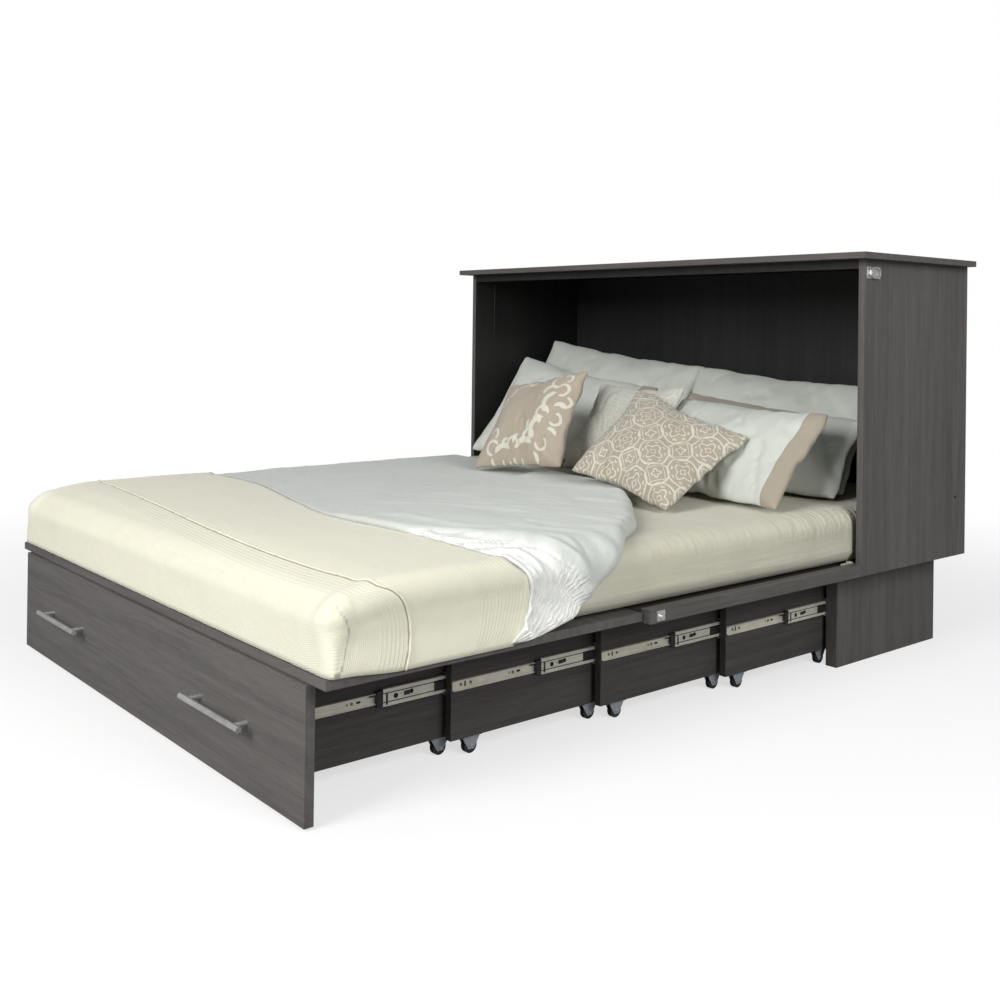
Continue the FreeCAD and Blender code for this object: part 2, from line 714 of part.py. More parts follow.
def bails():
    """Flat hexagonal rings, folded back along the cabinet sides."""
    length = size("bail_length")
    wide = size("bail_half")
    narrow = size("bail_end_half")
    slope = size("bail_slope")
    wire = size("bail_wire")
    outer = [(-wire / 2, -narrow), (slope, -wide), (length - slope, -wide), (length, -narrow),
             (length, narrow), (length - slope, wide), (slope, wide), (-wire / 2, narrow)]
    lean = wire * 0.8
    inner = [(wire / 2, -narrow + lean), (slope, -wide + wire), (length - slope, -wide + wire),
             (length - wire, -narrow + lean), (length - wire, narrow - lean),
             (length - slope, wide - wire), (slope, wide - wire), (wire / 2, narrow - lean)]
    for side, sign in (("right", ""), ("left", "-")):
        body = profile(f"bail_{side}", [outer, inner], "bail_wire")
        place(body, x=f"{sign}(latch_x)", y="latch_y", z="latch_height")
        node(body, f"bail_{side}")


def keepers():
    """Small plates with a knob on the rails' free ends, which the bails loop over."""
    knob_y = "rail_end + keeper_from_end"
    knob_z = "cabinet_base + keeper_height"
    start = f"{knob_y} - keeper_tail"
    plate = block("keeper_plate_one", ("half_width", "half_width + keeper_plate"),
                  (start, f"{start} + keeper_length"),
                  ("cabinet_base + keeper_margin", "rail_top - keeper_margin"))
    knob = rod("keeper_knob", "knob_radius", "knob_reach", "half_width", knob_y, knob_z)
    node(pair("rail_keepers", fused("rail_keeper", [plate, knob])), "rail_keepers")


# ---------------------------------------------------------------------------------------------
# Bedding
# ---------------------------------------------------------------------------------------------

def mattress():
    """Three-part folding mattress under its fitted sheet, as one rounded block."""
    length = size("back_face - mattress_head_gap - mattress_foot_y")
    solid = Part.makeBox(size("2 * mattress_half"), length, size("mattress_thickness"))
    upper_edges = [edge for edge in solid.Edges if edge.BoundBox.ZMax > solid.BoundBox.ZMax / 2]
    rounded = solid.makeFillet(size("mattress_rounding"), upper_edges)
    obj = doc.addObject("Part::Feature", "mattress")
    obj.Shape = rounded
    obj.Placement = FreeCAD.Placement(
        FreeCAD.Vector(size("-mattress_half"), size("mattress_foot_y"), size("mattress_bottom")),
        FreeCAD.Rotation())
    node(obj, "mattress")


def lens(x, front_y, back_y, half_height):
    """Pillow section: two arcs that meet in the side seams."""
    front = FreeCAD.Vector(x, front_y, 0)
    back = FreeCAD.Vector(x, back_y, 0)
    middle_y = (front_y + back_y) / 2
    over = Part.Arc(front, FreeCAD.Vector(x, middle_y, half_height), back).toShape()
    under = Part.Arc(back, FreeCAD.Vector(x, middle_y, -half_height), front).toShape()
    return Part.Wire([over, under])


def pillow(length, depth, thickness, taper):
    """A stuffed case lying flat: crowned in the middle and drawn in along its sides.

    The taper is the share of its depth that is slumped away at its right end.
    """
    end_half = size("pillow_end") / 2
    waist = size("pillow_waist")
    sections = []
    for step in (-1.0, -0.86, -0.55, 0.0, 0.55, 0.86, 1.0):
        fullness = (1 - step ** 4) ** 0.6
        inset = depth / 2 * waist * (1 - step * step)
        half_height = end_half + (thickness / 2 - end_half) * fullness
        top = depth / 2 - depth * taper * (1 + step) / 2
        sections.append(lens(step * length / 2, inset - depth / 2, top - inset, half_height))
    return Part.makeLoft(sections, True, False)


def soft(name, side, turn, taper=0.0):
    """A soft piece set down on the mattress, leaning back towards what is behind it.

    Its middle is measured from the mattress's left (-1) or right (1) side and from the back
    panel. The turns are in degrees: about the upright axis, then up from lying flat, then within
    the piece's own plane.
    """
    spin, lean, roll = turn
    rotation = FreeCAD.Rotation(FreeCAD.Vector(0, 0, 1), spin)
    rotation = rotation.multiply(FreeCAD.Rotation(FreeCAD.Vector(1, 0, 0), lean))
    rotation = rotation.multiply(FreeCAD.Rotation(FreeCAD.Vector(0, 0, 1), roll))
    shape = pillow(size(f"{name}_length"), size(f"{name}_depth"), size(f"{name}_loft"), taper)
    obj = doc.addObject("Part::Feature", f"soft_{name}")
    obj.Shape = shape
    turned = shape.copy()
    turned.Placement = FreeCAD.Placement(FreeCAD.Vector(), rotation)
    seat = size("mattress_top + soft_gap") - turned.optimalBoundingBox().ZMin
    base = FreeCAD.Vector(side * size(f"mattress_half - {name}_in"),
                          size(f"back_face - {name}_out"), seat)
    obj.Placement = FreeCAD.Placement(base, rotation)
    return obj


def pillows():
    """Pillows under the back panel, three more in front of them, and three cushions."""
    node(group("pillows_back", [soft("back_left", -1, (3, 61, -2), 0.13),
                                soft("back_right", 1, (0, 56, -1), 0.07)]), "pillows_back")
    node(group("pillows_front", [soft("front_left", -1, (6, 51, -2), 0.2),
                                 soft("middle_right", 1, (6, 44, 0), 0.15),
                                 soft("front_right", 1, (-6, 43, 1), 0.1)]), "pillows_front")
    node(group("cushions", [soft("scroll", -1, (6, 46, 10)),
                            soft("pale", -1, (0, 50, 0)),
                            soft("lattice", 1, (6, 35, -10), 0.1)]), "cushions")


def blanket():
    """Ribbed blanket over the foot end, tucked down on three sides."""
    gap = size("soft_gap")
    cloth = size("cloth")
    half = size("mattress_half + soft_gap")
    start = size("mattress_foot_y") - gap
    end = size("blanket_end")
    low = size("mattress_bottom + blanket_lift")
    high = size("mattress_top + soft_gap")
    rounding = size("mattress_rounding")
    outside = Part.makeBox(2 * (half + cloth), end - start + cloth, high + cloth - low,
                           FreeCAD.Vector(-half - cloth, start - cloth, low))
    inside = Part.makeBox(2 * half, end - start + cloth, high - low + cloth,
                          FreeCAD.Vector(-half, start, low - cloth))

    def soften(shape, radius):
        box = shape.BoundBox
        rows = [edge for edge in shape.Edges
                if edge.BoundBox.ZMax > box.ZMax - cloth and edge.BoundBox.YMin < box.YMax - cloth]
        return shape.makeFillet(radius, rows)

    obj = doc.addObject("Part::Feature", "blanket")
    obj.Shape = soften(outside, rounding + cloth).cut(soften(inside, rounding))
    node(obj, "blanket")


def duvet():
    """Crumpled duvet across the middle, its corner hanging down the right side."""
    gap = size("soft_gap")
    low = size("mattress_top + soft_gap")
    depth = size("duvet_depth")
    crown = size("duvet_crown")
    foot = size("blanket_end + soft_gap")
    half = size("mattress_half")
    head_left = size("back_face - duvet_head")
    slant = size("duvet_slant")

    def strip(x, head, rise):
        corners = [FreeCAD.Vector(x, foot, low), FreeCAD.Vector(x, foot, low + depth),
                   FreeCAD.Vector(x, head, low + depth), FreeCAD.Vector(x, head, low)]
        middle = FreeCAD.Vector(x, (foot + head) / 2, low + depth + rise)
        nose = FreeCAD.Vector(x, head + depth * 0.45, low + depth / 2)
        return Part.Wire([Part.LineSegment(corners[0], corners[1]).toShape(),
                          Part.Arc(corners[1], middle, corners[2]).toShape(),
                          Part.Arc(corners[2], nose, corners[3]).toShape(),
                          Part.LineSegment(corners[3], corners[0]).toShape()])

    # place across the bed, share of the slant, share of the crown
    strips = ((-0.96, 0.0, 0.5), (-0.7, 0.42, 1.0), (-0.2, 0.52, 0.6), (0.2, 0.67, 1.0),
              (0.6, 0.8, 0.7), (0.94, 1.0, 1.0))
    top = Part.makeLoft([strip(across * half, head_left - slant * share, crown * rise)
                         for across, share, rise in strips], True, True)

    face = half + gap
    hem = size("mattress_bottom + duvet_hem_lift")
    slope = size("duvet_hem_slope")
    length = size("duvet_side_length")
    skin = size("duvet_skin")
    shoulder = half * strips[-1][0]

    def drop(share, bulge):
        y = foot + length * share
        bottom = hem + slope * share
        out = size("duvet_bulge") * bulge
        points = [FreeCAD.Vector(face, y, bottom), FreeCAD.Vector(face, y, low),
                  FreeCAD.Vector(shoulder, y, low), FreeCAD.Vector(shoulder, y, low + depth * 0.8),
                  FreeCAD.Vector(face + skin * 0.75, y, low + skin),
                  FreeCAD.Vector(face + skin, y, bottom)]
        middle = FreeCAD.Vector(face + skin + out, y, (low + hem) / 2)
        crown_point = FreeCAD.Vector(face - 1.5 * skin, y, low + depth * 0.75)
        edges = [Part.LineSegment(points[0], points[1]), Part.LineSegment(points[1], points[2]),
                 Part.LineSegment(points[2], points[3]), Part.Arc(points[3], crown_point, points[4]),
                 Part.Arc(points[4], middle, points[5]), Part.LineSegment(points[5], points[0])]
        return Part.Wire([edge.toShape() for edge in edges])

    folds = ((0.0, 0.4), (0.2, 1.0), (0.4, 0.3), (0.6, 1.0), (0.8, 0.5), (1.0, 0.8))
    side = Part.makeLoft([drop(share, bulge) for share, bulge in folds], True, True)
    obj = doc.addObject("Part::Feature", "duvet")
    obj.Shape = top.fuse(side)
    node(obj, "duvet")


# ---------------------------------------------------------------------------------------------
# Build, check and write
# ---------------------------------------------------------------------------------------------

def main():
    """Build every sub-part, check the document and write one file per sub-part."""
    cabinet()
    plinth()
    stays()
    decks()
    fold_hinges()
    deck_hinges()
    drawer()
    for number in range(1, 5):
        segment(number)
    slides()
    casters()
    latch_plates()
    bails()
    keepers()
    mattress()
    blanket()
    duvet()
    pillows()
    doc.recompute()

    for obj in doc.Objects:
        if "Invalid" in obj.State or "Error" in obj.State:
            raise RuntimeError(f"{obj.Name} failed: {obj.State}")
    os.makedirs("parts", exist_ok=True)
    for obj in NODES:
        shape = obj.Shape
        if shape.isNull() or not shape.isValid():
            raise RuntimeError(f"{obj.Label} has no valid shape")
        shape.exportStep(f"parts/{obj.Label}.step")
        box = shape.BoundBox
        print(f"{obj.Label:26s} solids {len(shape.Solids):2d}  volume {shape.Volume / 1000:10.1f} cm3"
              f"  z {box.ZMin:8.2f} .. {box.ZMax:8.2f}")
    print(f"{len(NODES)} sub-parts written")


main()
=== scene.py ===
import logging
import math
from collections.abc import Sequence
from dataclasses import dataclass, field
from enum import Enum
from functools import reduce

import bmesh
import bpy
import numpy as np
from mathutils import Matrix, Vector, noise


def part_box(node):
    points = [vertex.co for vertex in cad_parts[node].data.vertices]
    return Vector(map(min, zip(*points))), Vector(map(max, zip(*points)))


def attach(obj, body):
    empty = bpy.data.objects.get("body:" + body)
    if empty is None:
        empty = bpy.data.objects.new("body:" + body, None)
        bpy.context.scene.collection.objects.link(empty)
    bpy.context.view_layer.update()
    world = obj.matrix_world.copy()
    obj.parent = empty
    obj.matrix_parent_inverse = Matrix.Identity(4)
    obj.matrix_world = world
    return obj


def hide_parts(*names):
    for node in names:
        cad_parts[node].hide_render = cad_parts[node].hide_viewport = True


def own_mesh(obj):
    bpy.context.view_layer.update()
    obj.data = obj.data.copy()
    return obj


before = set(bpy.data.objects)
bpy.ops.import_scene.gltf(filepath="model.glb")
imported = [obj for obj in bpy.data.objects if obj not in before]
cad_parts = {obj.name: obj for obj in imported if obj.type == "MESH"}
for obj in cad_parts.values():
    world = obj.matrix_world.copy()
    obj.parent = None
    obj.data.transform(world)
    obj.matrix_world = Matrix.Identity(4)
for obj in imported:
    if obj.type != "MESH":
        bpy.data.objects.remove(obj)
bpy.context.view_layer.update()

LOG = logging.getLogger("cabinet_bed")
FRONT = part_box("cabinet_side_right")[0].y       # plane of the cabinet's front edges


# ---- Shader arithmetic ----

class Value:
    """A number that varies over a surface, written in plain arithmetic."""

    def __init__(self, shader: "Shader", socket: bpy.types.NodeSocket) -> None:
        """Wrap an output socket."""
        self.shader = shader
        self.socket = socket

    def to(self, operation: str, *terms: "Value | float") -> "Value":
        """Put this value through a Math node.

        Args:
            operation: the Math node's operation.
            terms: the values that follow this one.

        Returns:
            The node's result.
        """
        sockets = dict(enumerate((self, *terms)))
        made = self.shader.add("ShaderNodeMath", {"operation": operation}, sockets)
        return Value(self.shader, made.outputs[0])

    def flipped(self, operation: str, first: float) -> "Value":
        """The same with a plain number first and this value second."""
        made = self.shader.add("ShaderNodeMath", {"operation": operation}, {0: first, 1: self})
        return Value(self.shader, made.outputs[0])

    def __add__(self, other: "Value | float") -> "Value":
        """Sum."""
        return self.to("ADD", other)

    __radd__ = __add__

    def __sub__(self, other: "Value | float") -> "Value":
        """Difference."""
        return self.to("SUBTRACT", other)

    def __rsub__(self, other: float) -> "Value":
        """A number less this value."""
        return self.flipped("SUBTRACT", other)

    def __mul__(self, other: "Value | float") -> "Value":
        """Product."""
        return self.to("MULTIPLY", other)

    __rmul__ = __mul__

    def __abs__(self) -> "Value":
        """Size without its sign."""
        return self.to("ABSOLUTE")

    def line(self, middle: float, half: float) -> "Value":
        """1 where this value is within half of the middle, and 0 elsewhere."""
        return self.to("COMPARE", middle, half)

    def ramp(self, low: float, high: float) -> "Value":
        """0 below low, 1 above high and smooth between."""
        made = self.shader.add("ShaderNodeMapRange", {"interpolation_type": "SMOOTHSTEP"},
                               {"Value": self, "From Min": low, "From Max": high})
        return Value(self.shader, made.outputs[0])


Colour = tuple[float, float, float]


class Shader:
    """One material's nodes, with the steps that every finish uses."""

    def __init__(self, name: str) -> None:
        """Start a material with its surface shader."""
        self.material = bpy.data.materials.new(name)
        self.material.use_nodes = True
        self.tree = self.material.node_tree
        self.surface = self.tree.nodes["Principled BSDF"]

    def add(self, kind: str, settings: dict | None = None,
            sockets: dict | None = None) -> bpy.types.Node:
        """Add a node.

        Args:
            kind: the node's type.
            settings: its own settings, set before its sockets.
            sockets: values or links, by the sockets' names or numbers.

        Returns:
            The node.
        """
        made = self.tree.nodes.new(kind)
        for name, value in (settings or {}).items():
            setattr(made, name, value)
        for key, value in (sockets or {}).items():
            self.feed(made.inputs[key], value)
        return made

    def feed(self, socket: bpy.types.NodeSocket, value: object) -> None:
        """Link a value to a socket, or write a plain one in it."""
        if isinstance(value, Value):
            value = value.socket
        if isinstance(value, bpy.types.NodeSocket):
            self.tree.links.new(value, socket)
        elif socket.type == "RGBA":
            socket.default_value = (*value, 1.0)
        else:
            socket.default_value = value

    def place(self, scale: Sequence[float] = (1, 1, 1),
              output: str = "Object") -> bpy.types.NodeSocket:
        """Coordinates of the surface, stretched along each axis."""
        source = self.add("ShaderNodeTexCoord").outputs[output]
        return self.add("ShaderNodeMapping", None, {"Vector": source, "Scale": scale}).outputs[0]

    def split(self, vector: bpy.types.NodeSocket) -> list[Value]:
        """The three parts of a vector."""
        made = self.add("ShaderNodeSeparateXYZ", None, {0: vector})
        return [Value(self, socket) for socket in made.outputs]

    def chart(self) -> list[Value]:
        """The two parts of the piece's own map, in metres."""
        return self.split(self.place(output="UV"))[:2]

    def noise(self, vector: bpy.types.NodeSocket, scale: float, detail: float = 3.0,
              roughness: float = 0.5, distortion: float = 0.0) -> Value:
        """Cloudy variation about 0.5."""
        made = self.add("ShaderNodeTexNoise", None,
                        {"Vector": vector, "Scale": scale, "Detail": detail,
                         "Roughness": roughness, "Distortion": distortion})
        return Value(self, made.outputs[0])

    def cloud(self, scale: float, detail: float, roughness: float, distortion: float = 0.0,
              stretch: Sequence[float] = (1, 1, 1)) -> Value:
        """Noise through the piece's own space."""
        return self.noise(self.place(stretch), scale, detail, roughness, distortion)

    def mix(self, share: Value | float, first: object, second: object) -> bpy.types.NodeSocket:
        """A colour between two, by share."""
        made = self.add("ShaderNodeMix", {"data_type": "RGBA"}, {0: share, 6: first, 7: second})
        return made.outputs[2]

    def bump(self, height: Value, distance: float) -> bpy.types.NodeSocket:
        """A normal from a height in units of the distance, in metres."""
        return self.add("ShaderNodeBump", None, {"Height": height, "Distance": distance,
                                                 "Strength": 1.0}).outputs[0]

    def finish(self, **sockets: object) -> bpy.types.Material:
        """Set the surface shader's sockets, named with underscores, and hand the material over."""
        for name, value in sockets.items():
            self.feed(self.surface.inputs[name.replace("_", " ")], value)
        return self.material


def union(marks: Sequence[Value]) -> Value:
    """The strongest of several marks."""
    return reduce(lambda first, second: first.to("MAXIMUM", second), marks)


def darker(colour: Colour, share: float) -> Colour:
    """A share of a colour."""
    return tuple(share * part for part in colour)


# ---- Finishes ----

INNER_X, INNER_Z = 0.8025, 1.0625       # just past the cabinet's inner faces


class Grain(Enum):
    """Direction of a board's grain, with how stretched its figure is along each axis."""
    ACROSS = (0.035, 1.0, 1.0)
    LENGTHWAYS = (1.0, 0.035, 1.0)
    UPRIGHT = (1.0, 1.0, 0.035)


@dataclass(frozen=True)
class Laminate:
    """Wood-grain laminate on board."""
    name: str
    grain: Grain
    dark: Colour = (0.080, 0.074, 0.071)
    pale: Colour = (0.138, 0.129, 0.123)
    roughness: float = 0.46
    relief: float = 0.00012
    shaded: float = 0.0             # painted shade: how much darker the faces inside the cabinet are painted

    def inside(self, shader: Shader) -> Value:
        """1 on the faces inside the cabinet, where shade is painted."""
        x, y, z = shader.split(shader.place())
        inner = abs(x).to("LESS_THAN", INNER_X) * y.to("GREATER_THAN", FRONT + 0.0005)
        return inner * z.to("LESS_THAN", INNER_Z)

    def material(self) -> bpy.types.Material:
        """Fine streaks over broader bands, with pores as short dark dashes."""
        shader = Shader(self.name)
        along = shader.place(self.grain.value)
        fine = shader.noise(along, 420, 4, 0.65)
        bands = shader.noise(along, 60, 3, 0.55, 0.6)
        broad = shader.noise(along, 9, 2, 0.5, 0.4)
        pores = shader.noise(along, 900, 2, 0.5).ramp(0.60, 0.72)
        tone = fine * 0.55 + bands * 0.50 + broad * 0.35 - 0.20
        colour = shader.mix(tone.ramp(0.25, 0.75), self.dark, self.pale)
        colour = shader.mix(pores * 0.35, colour, darker(self.dark, 0.45))
        # Painted shade: faces inside the cabinet are darkened towards near black, standing for the
        # cabinet's shadow.
        if self.shaded:
            colour = shader.mix(self.inside(shader) * self.shaded, colour, (0.004, 0.004, 0.0045))
        return shader.finish(Base_Color=colour, Roughness=self.roughness + (fine - 0.5) * 0.12,
                             Specular_IOR_Level=0.4,
                             Normal=shader.bump(fine - pores * 0.6, self.relief))


@dataclass(frozen=True)
class Metal:
    """Sheet or bar metal with a faint drawn or mottled surface."""
    name: str
    colour: Colour
    roughness: float
    metallic: float = 1.0
    drawn: Colour = (1.0, 1.0, 1.0)
    scale: float = 260

    def material(self) -> bpy.types.Material:
        """Metal whose brightness and gloss vary a little."""
        shader = Shader(self.name)
        fine = shader.cloud(self.scale, 4, 0.6, stretch=self.drawn)
        tone = (fine * 0.5 + shader.cloud(24, 3, 0.5) * 0.5).ramp(0.3, 0.7)
        return shader.finish(Base_Color=shader.mix(tone, darker(self.colour, 0.72), self.colour),
                             Metallic=self.metallic, Roughness=self.roughness + (fine - 0.5) * 0.2,
                             Normal=shader.bump(fine, 0.00006))


@dataclass(frozen=True)
class Plastic:
    """Moulded plastic or rubber."""
    name: str
    colour: Colour
    roughness: float = 0.5

    def material(self) -> bpy.types.Material:
        """Plain moulding with a fine spark-eroded grain and a little dust."""
        shader = Shader(self.name)
        dust = shader.cloud(60, 4, 0.6).ramp(0.45, 0.8)
        pale = tuple(part + 0.035 for part in self.colour)
        return shader.finish(Base_Color=shader.mix(dust * 0.6, self.colour, pale),
                             Roughness=self.roughness + dust * 0.2,
                             Normal=shader.bump(shader.cloud(1400, 2, 0.5), 0.00008))


@dataclass(frozen=True)
class Cloth:
    """Plain woven cloth, read on the piece's own map, in metres."""
    name: str
    colour: Colour
    shade: float = 0.86
    thread: float = 0.0011
    relief: float = 0.00012
    sheen: float = 0.25
    roughness: float = 0.85

    def weave(self, shader: Shader) -> Value:
        """Threads that pass over and under each other."""
        across, along = shader.chart()
        turns = math.tau / self.thread
        return (across * turns).to("SINE") * (along * turns).to("SINE") * 0.5 + 0.5

    def creased(self, shader: Shader) -> Value:
        """The weave over soft creases."""
        crease = shader.cloud(20, 5, 0.6, 0.8, (1, 0.6, 0.6))
        return self.weave(shader) * 0.4 + crease * 9.0

    def tint(self, shader: Shader, colour: object) -> bpy.types.NodeSocket:
        """Slightly uneven colour, as washed cloth has."""
        cloud = shader.cloud(11, 4, 0.6).ramp(0.25, 0.8)
        low = shader.add("ShaderNodeVectorMath", {"operation": "SCALE"},
                         {0: colour, "Scale": self.shade})
        share = cloud * 0.55 + shader.cloud(800, 2, 0.5) * 0.45
        return shader.mix(share, low.outputs[0], colour)

    def woven(self, shader: Shader, colour: object, height: Value, distance: float,
              gloss: float = 0.25, roughness: Value | None = None) -> bpy.types.Material:
        """Finish a cloth.

        Args:
            shader: its nodes.
            colour: its colour.
            height: its relief, in units of the distance.
            distance: that distance, in metres.
            gloss: the strength of its reflections.
            roughness: its roughness, where that varies.

        Returns:
            The material.
        """
        return shader.finish(Base_Color=colour, Roughness=roughness or self.roughness,
                             Sheen_Weight=self.sheen, Sheen_Roughness=0.5,
                             Specular_IOR_Level=gloss, Normal=shader.bump(height, distance))

    def material(self) -> bpy.types.Material:
        """The cloth's material."""
        shader = Shader(self.name)
        return self.woven(shader, self.tint(shader, self.colour), self.creased(shader),
                          self.relief * 3)


@dataclass(frozen=True)
class Ribbed(Cloth):
    """Cloth with fine ribs across its length and bands of wider tucks."""
    pitch: float = 0.0042
    tuck_pitch: float = 0.0092
    shade_line_at: float = -0.0042       # where the painted shade line beside the pin tuck runs
    bands: tuple[tuple[float, float], ...] = ()

    def material(self) -> bpy.types.Material:
        """Ribs that catch the light, wider and deeper inside the bands, with painted shade in the
        grooves between the tucks and beside the pin tuck.
        """
        shader = Shader(self.name)
        _, along = shader.chart()
        fine = (along * (math.tau / self.pitch)).to("SINE")
        tucks = (along * (math.tau / self.tuck_pitch)).to("SINE") * 0.5 + 0.5
        inside = 0.0
        for middle, half in self.bands:
            inside = 1.0 - abs(along - middle).ramp(half - 0.004, half + 0.004) + inside
        # Painted shade: the cloth is darkened in the grooves between the wider tucks.
        groove_shade = (1.0 - tucks) * inside
        colour = self.tint(shader, self.colour)
        colour = shader.mix(groove_shade * 0.11, colour, darker(self.colour, 0.7))
        # Painted shade: a dark brown line beside the pin tuck, where the raised tuck shades the
        # cloth.
        tuck_shade = (along - self.shade_line_at).line(0.0, 0.0016)
        colour = shader.mix(tuck_shade * 0.75, colour, (0.24, 0.20, 0.12))
        height = fine * 0.12 + tucks * inside * 0.45 + shader.cloud(22, 4, 0.55) * 1.8
        return self.woven(shader, colour, height, 0.0012, gloss=0.2)


@dataclass(frozen=True)
class Sateen(Cloth):
    """Duvet cover: matt cotton above, and brighter glossy cotton where it is turned back."""
    turned: Colour = (0.86, 0.87, 0.83)

    def material(self) -> bpy.types.Material:
        """Blend the two by the piece's own zone attribute."""
        shader = Shader(self.name)
        zone = Value(shader, shader.add("ShaderNodeAttribute",
                                        {"attribute_name": "zone"}).outputs["Fac"])
        colour = shader.mix(zone, self.colour, self.turned)
        crumple = shader.cloud(34, 5, 0.6) * 2.6 + shader.cloud(120, 3, 0.6) * 0.5
        return self.woven(shader, self.tint(shader, colour), crumple + self.weave(shader) * 0.1,
                          0.0012, 0.3, self.roughness - zone * 0.35)


@dataclass(frozen=True)
class Fitted(Cloth):
    """Fitted sheet with fine pulled wrinkles towards the head of the bed."""

    def material(self) -> bpy.types.Material:
        """Short folds across the top edge and long ones along the side."""
        shader = Shader(self.name)
        _, y, z = shader.split(shader.place())
        short = shader.cloud(1.0, 3, 0.6, 0.3, (7, 62, 11))
        long = shader.cloud(1.0, 4, 0.6, 0.4, (9, 4, 70))
        top = shader.cloud(1.0, 3, 0.6, 0.6, (3, 46, 10))
        edge = z.ramp(0.33, 0.39) * y.ramp(FRONT - 0.42, FRONT - 0.12)
        side = 1.0 - z.ramp(0.34, 0.41)
        height = (short * edge * 6.0 + long * side * 1.3 + top * (1.0 - side) * 2.0
                  + shader.cloud(18, 4, 0.55) * 1.2)
        return self.woven(shader, self.tint(shader, self.colour), height, 0.0016)


@dataclass(frozen=True)
class Banded(Cloth):
    """Pillow case with a linen band along its open end."""
    band: Colour = (0.46, 0.40, 0.32)
    start: float = 0.2
    along_length: bool = True
    until: float = 1.0              # where a band along the top stops

    def material(self) -> bpy.types.Material:
        """White cotton that changes to linen past the start of the band."""
        shader = Shader(self.name)
        across, along = shader.chart()
        reach, other = (across, along) if self.along_length else (along, across)
        before = other.to("LESS_THAN", self.until)
        inside = reach.to("GREATER_THAN", self.start) * before
        colour = shader.mix(inside, self.colour, self.band)
        colour = shader.mix(reach.line(self.start, 0.0012) * before * 0.6, colour,
                            (0.25, 0.22, 0.19))
        height = self.creased(shader) + shader.cloud(300, 3, 0.6) * inside
        return self.woven(shader, self.tint(shader, colour), height, self.relief * 3)


@dataclass(frozen=True)
class Figured(Cloth):
    """Linen with a cream figure raised from it."""
    line: Colour = (0.72, 0.71, 0.60)
    contrast: float = 1.0
    raised: float = 2.2
    slubs: tuple[tuple[float, ...], ...] = ((1.5, 50, 5, 0.6),)     # strength, then noise

    def figure(self, shader: Shader) -> Value:
        """1 on the figure, and 0 on the ground."""
        raise NotImplementedError

    def material(self) -> bpy.types.Material:
        """The figure on its ground."""
        shader = Shader(self.name)
        marks = self.figure(shader)
        colour = shader.mix(marks * self.contrast, self.colour, self.line)
        height = self.weave(shader) * 0.4 + marks * self.raised
        for strength, *grain in self.slubs:
            height = height + shader.cloud(*grain) * strength
        return self.woven(shader, self.tint(shader, colour), height, self.relief * 4, 0.2)


@dataclass(frozen=True)
class Lattice(Figured):
    """Lattice of interlaced rings, quatrefoils and small diamonds."""
    cell: float = 0.118
    width: float = 0.022

    def figure(self, shader: Shader) -> Value:
        """Rings about every middle and corner of a square grid, with figures inside them."""
        wobble = (shader.noise(shader.place(output="UV"), 22, 2, 0.5) - 0.5) * 0.09
        places = [part * (1 / self.cell) + wobble for part in shader.chart()]
        marks = []
        for shift, radius, inner, lobes in ((0.0, 0.415, 0.20, 0.055), (0.5, 0.33, 0.10, -0.03)):
            a, b = ((place + shift).to("FRACT") - 0.5 for place in places)
            around = (a * a + b * b).to("SQRT")
            turn = (a * b * 2.0) * (a * b * 2.0)
            spread = around.to("MAXIMUM", 0.02)
            fourth = spread * spread * spread * spread
            fourfold = 1.0 - turn * 2.0 * fourth.flipped("DIVIDE", 1.0)
            marks += [around.line(radius, self.width),
                      (around - fourfold * lobes).line(inner, self.width),
                      (abs(a) + abs(b)).line(0.085 + 0.42 * shift, self.width * 0.8),
                      (around - abs(fourfold) * 0.05).line(0.30, self.width)
                      * abs(fourfold).to("LESS_THAN", 0.55) * (1.0 - 2 * shift)]
        return union(marks)


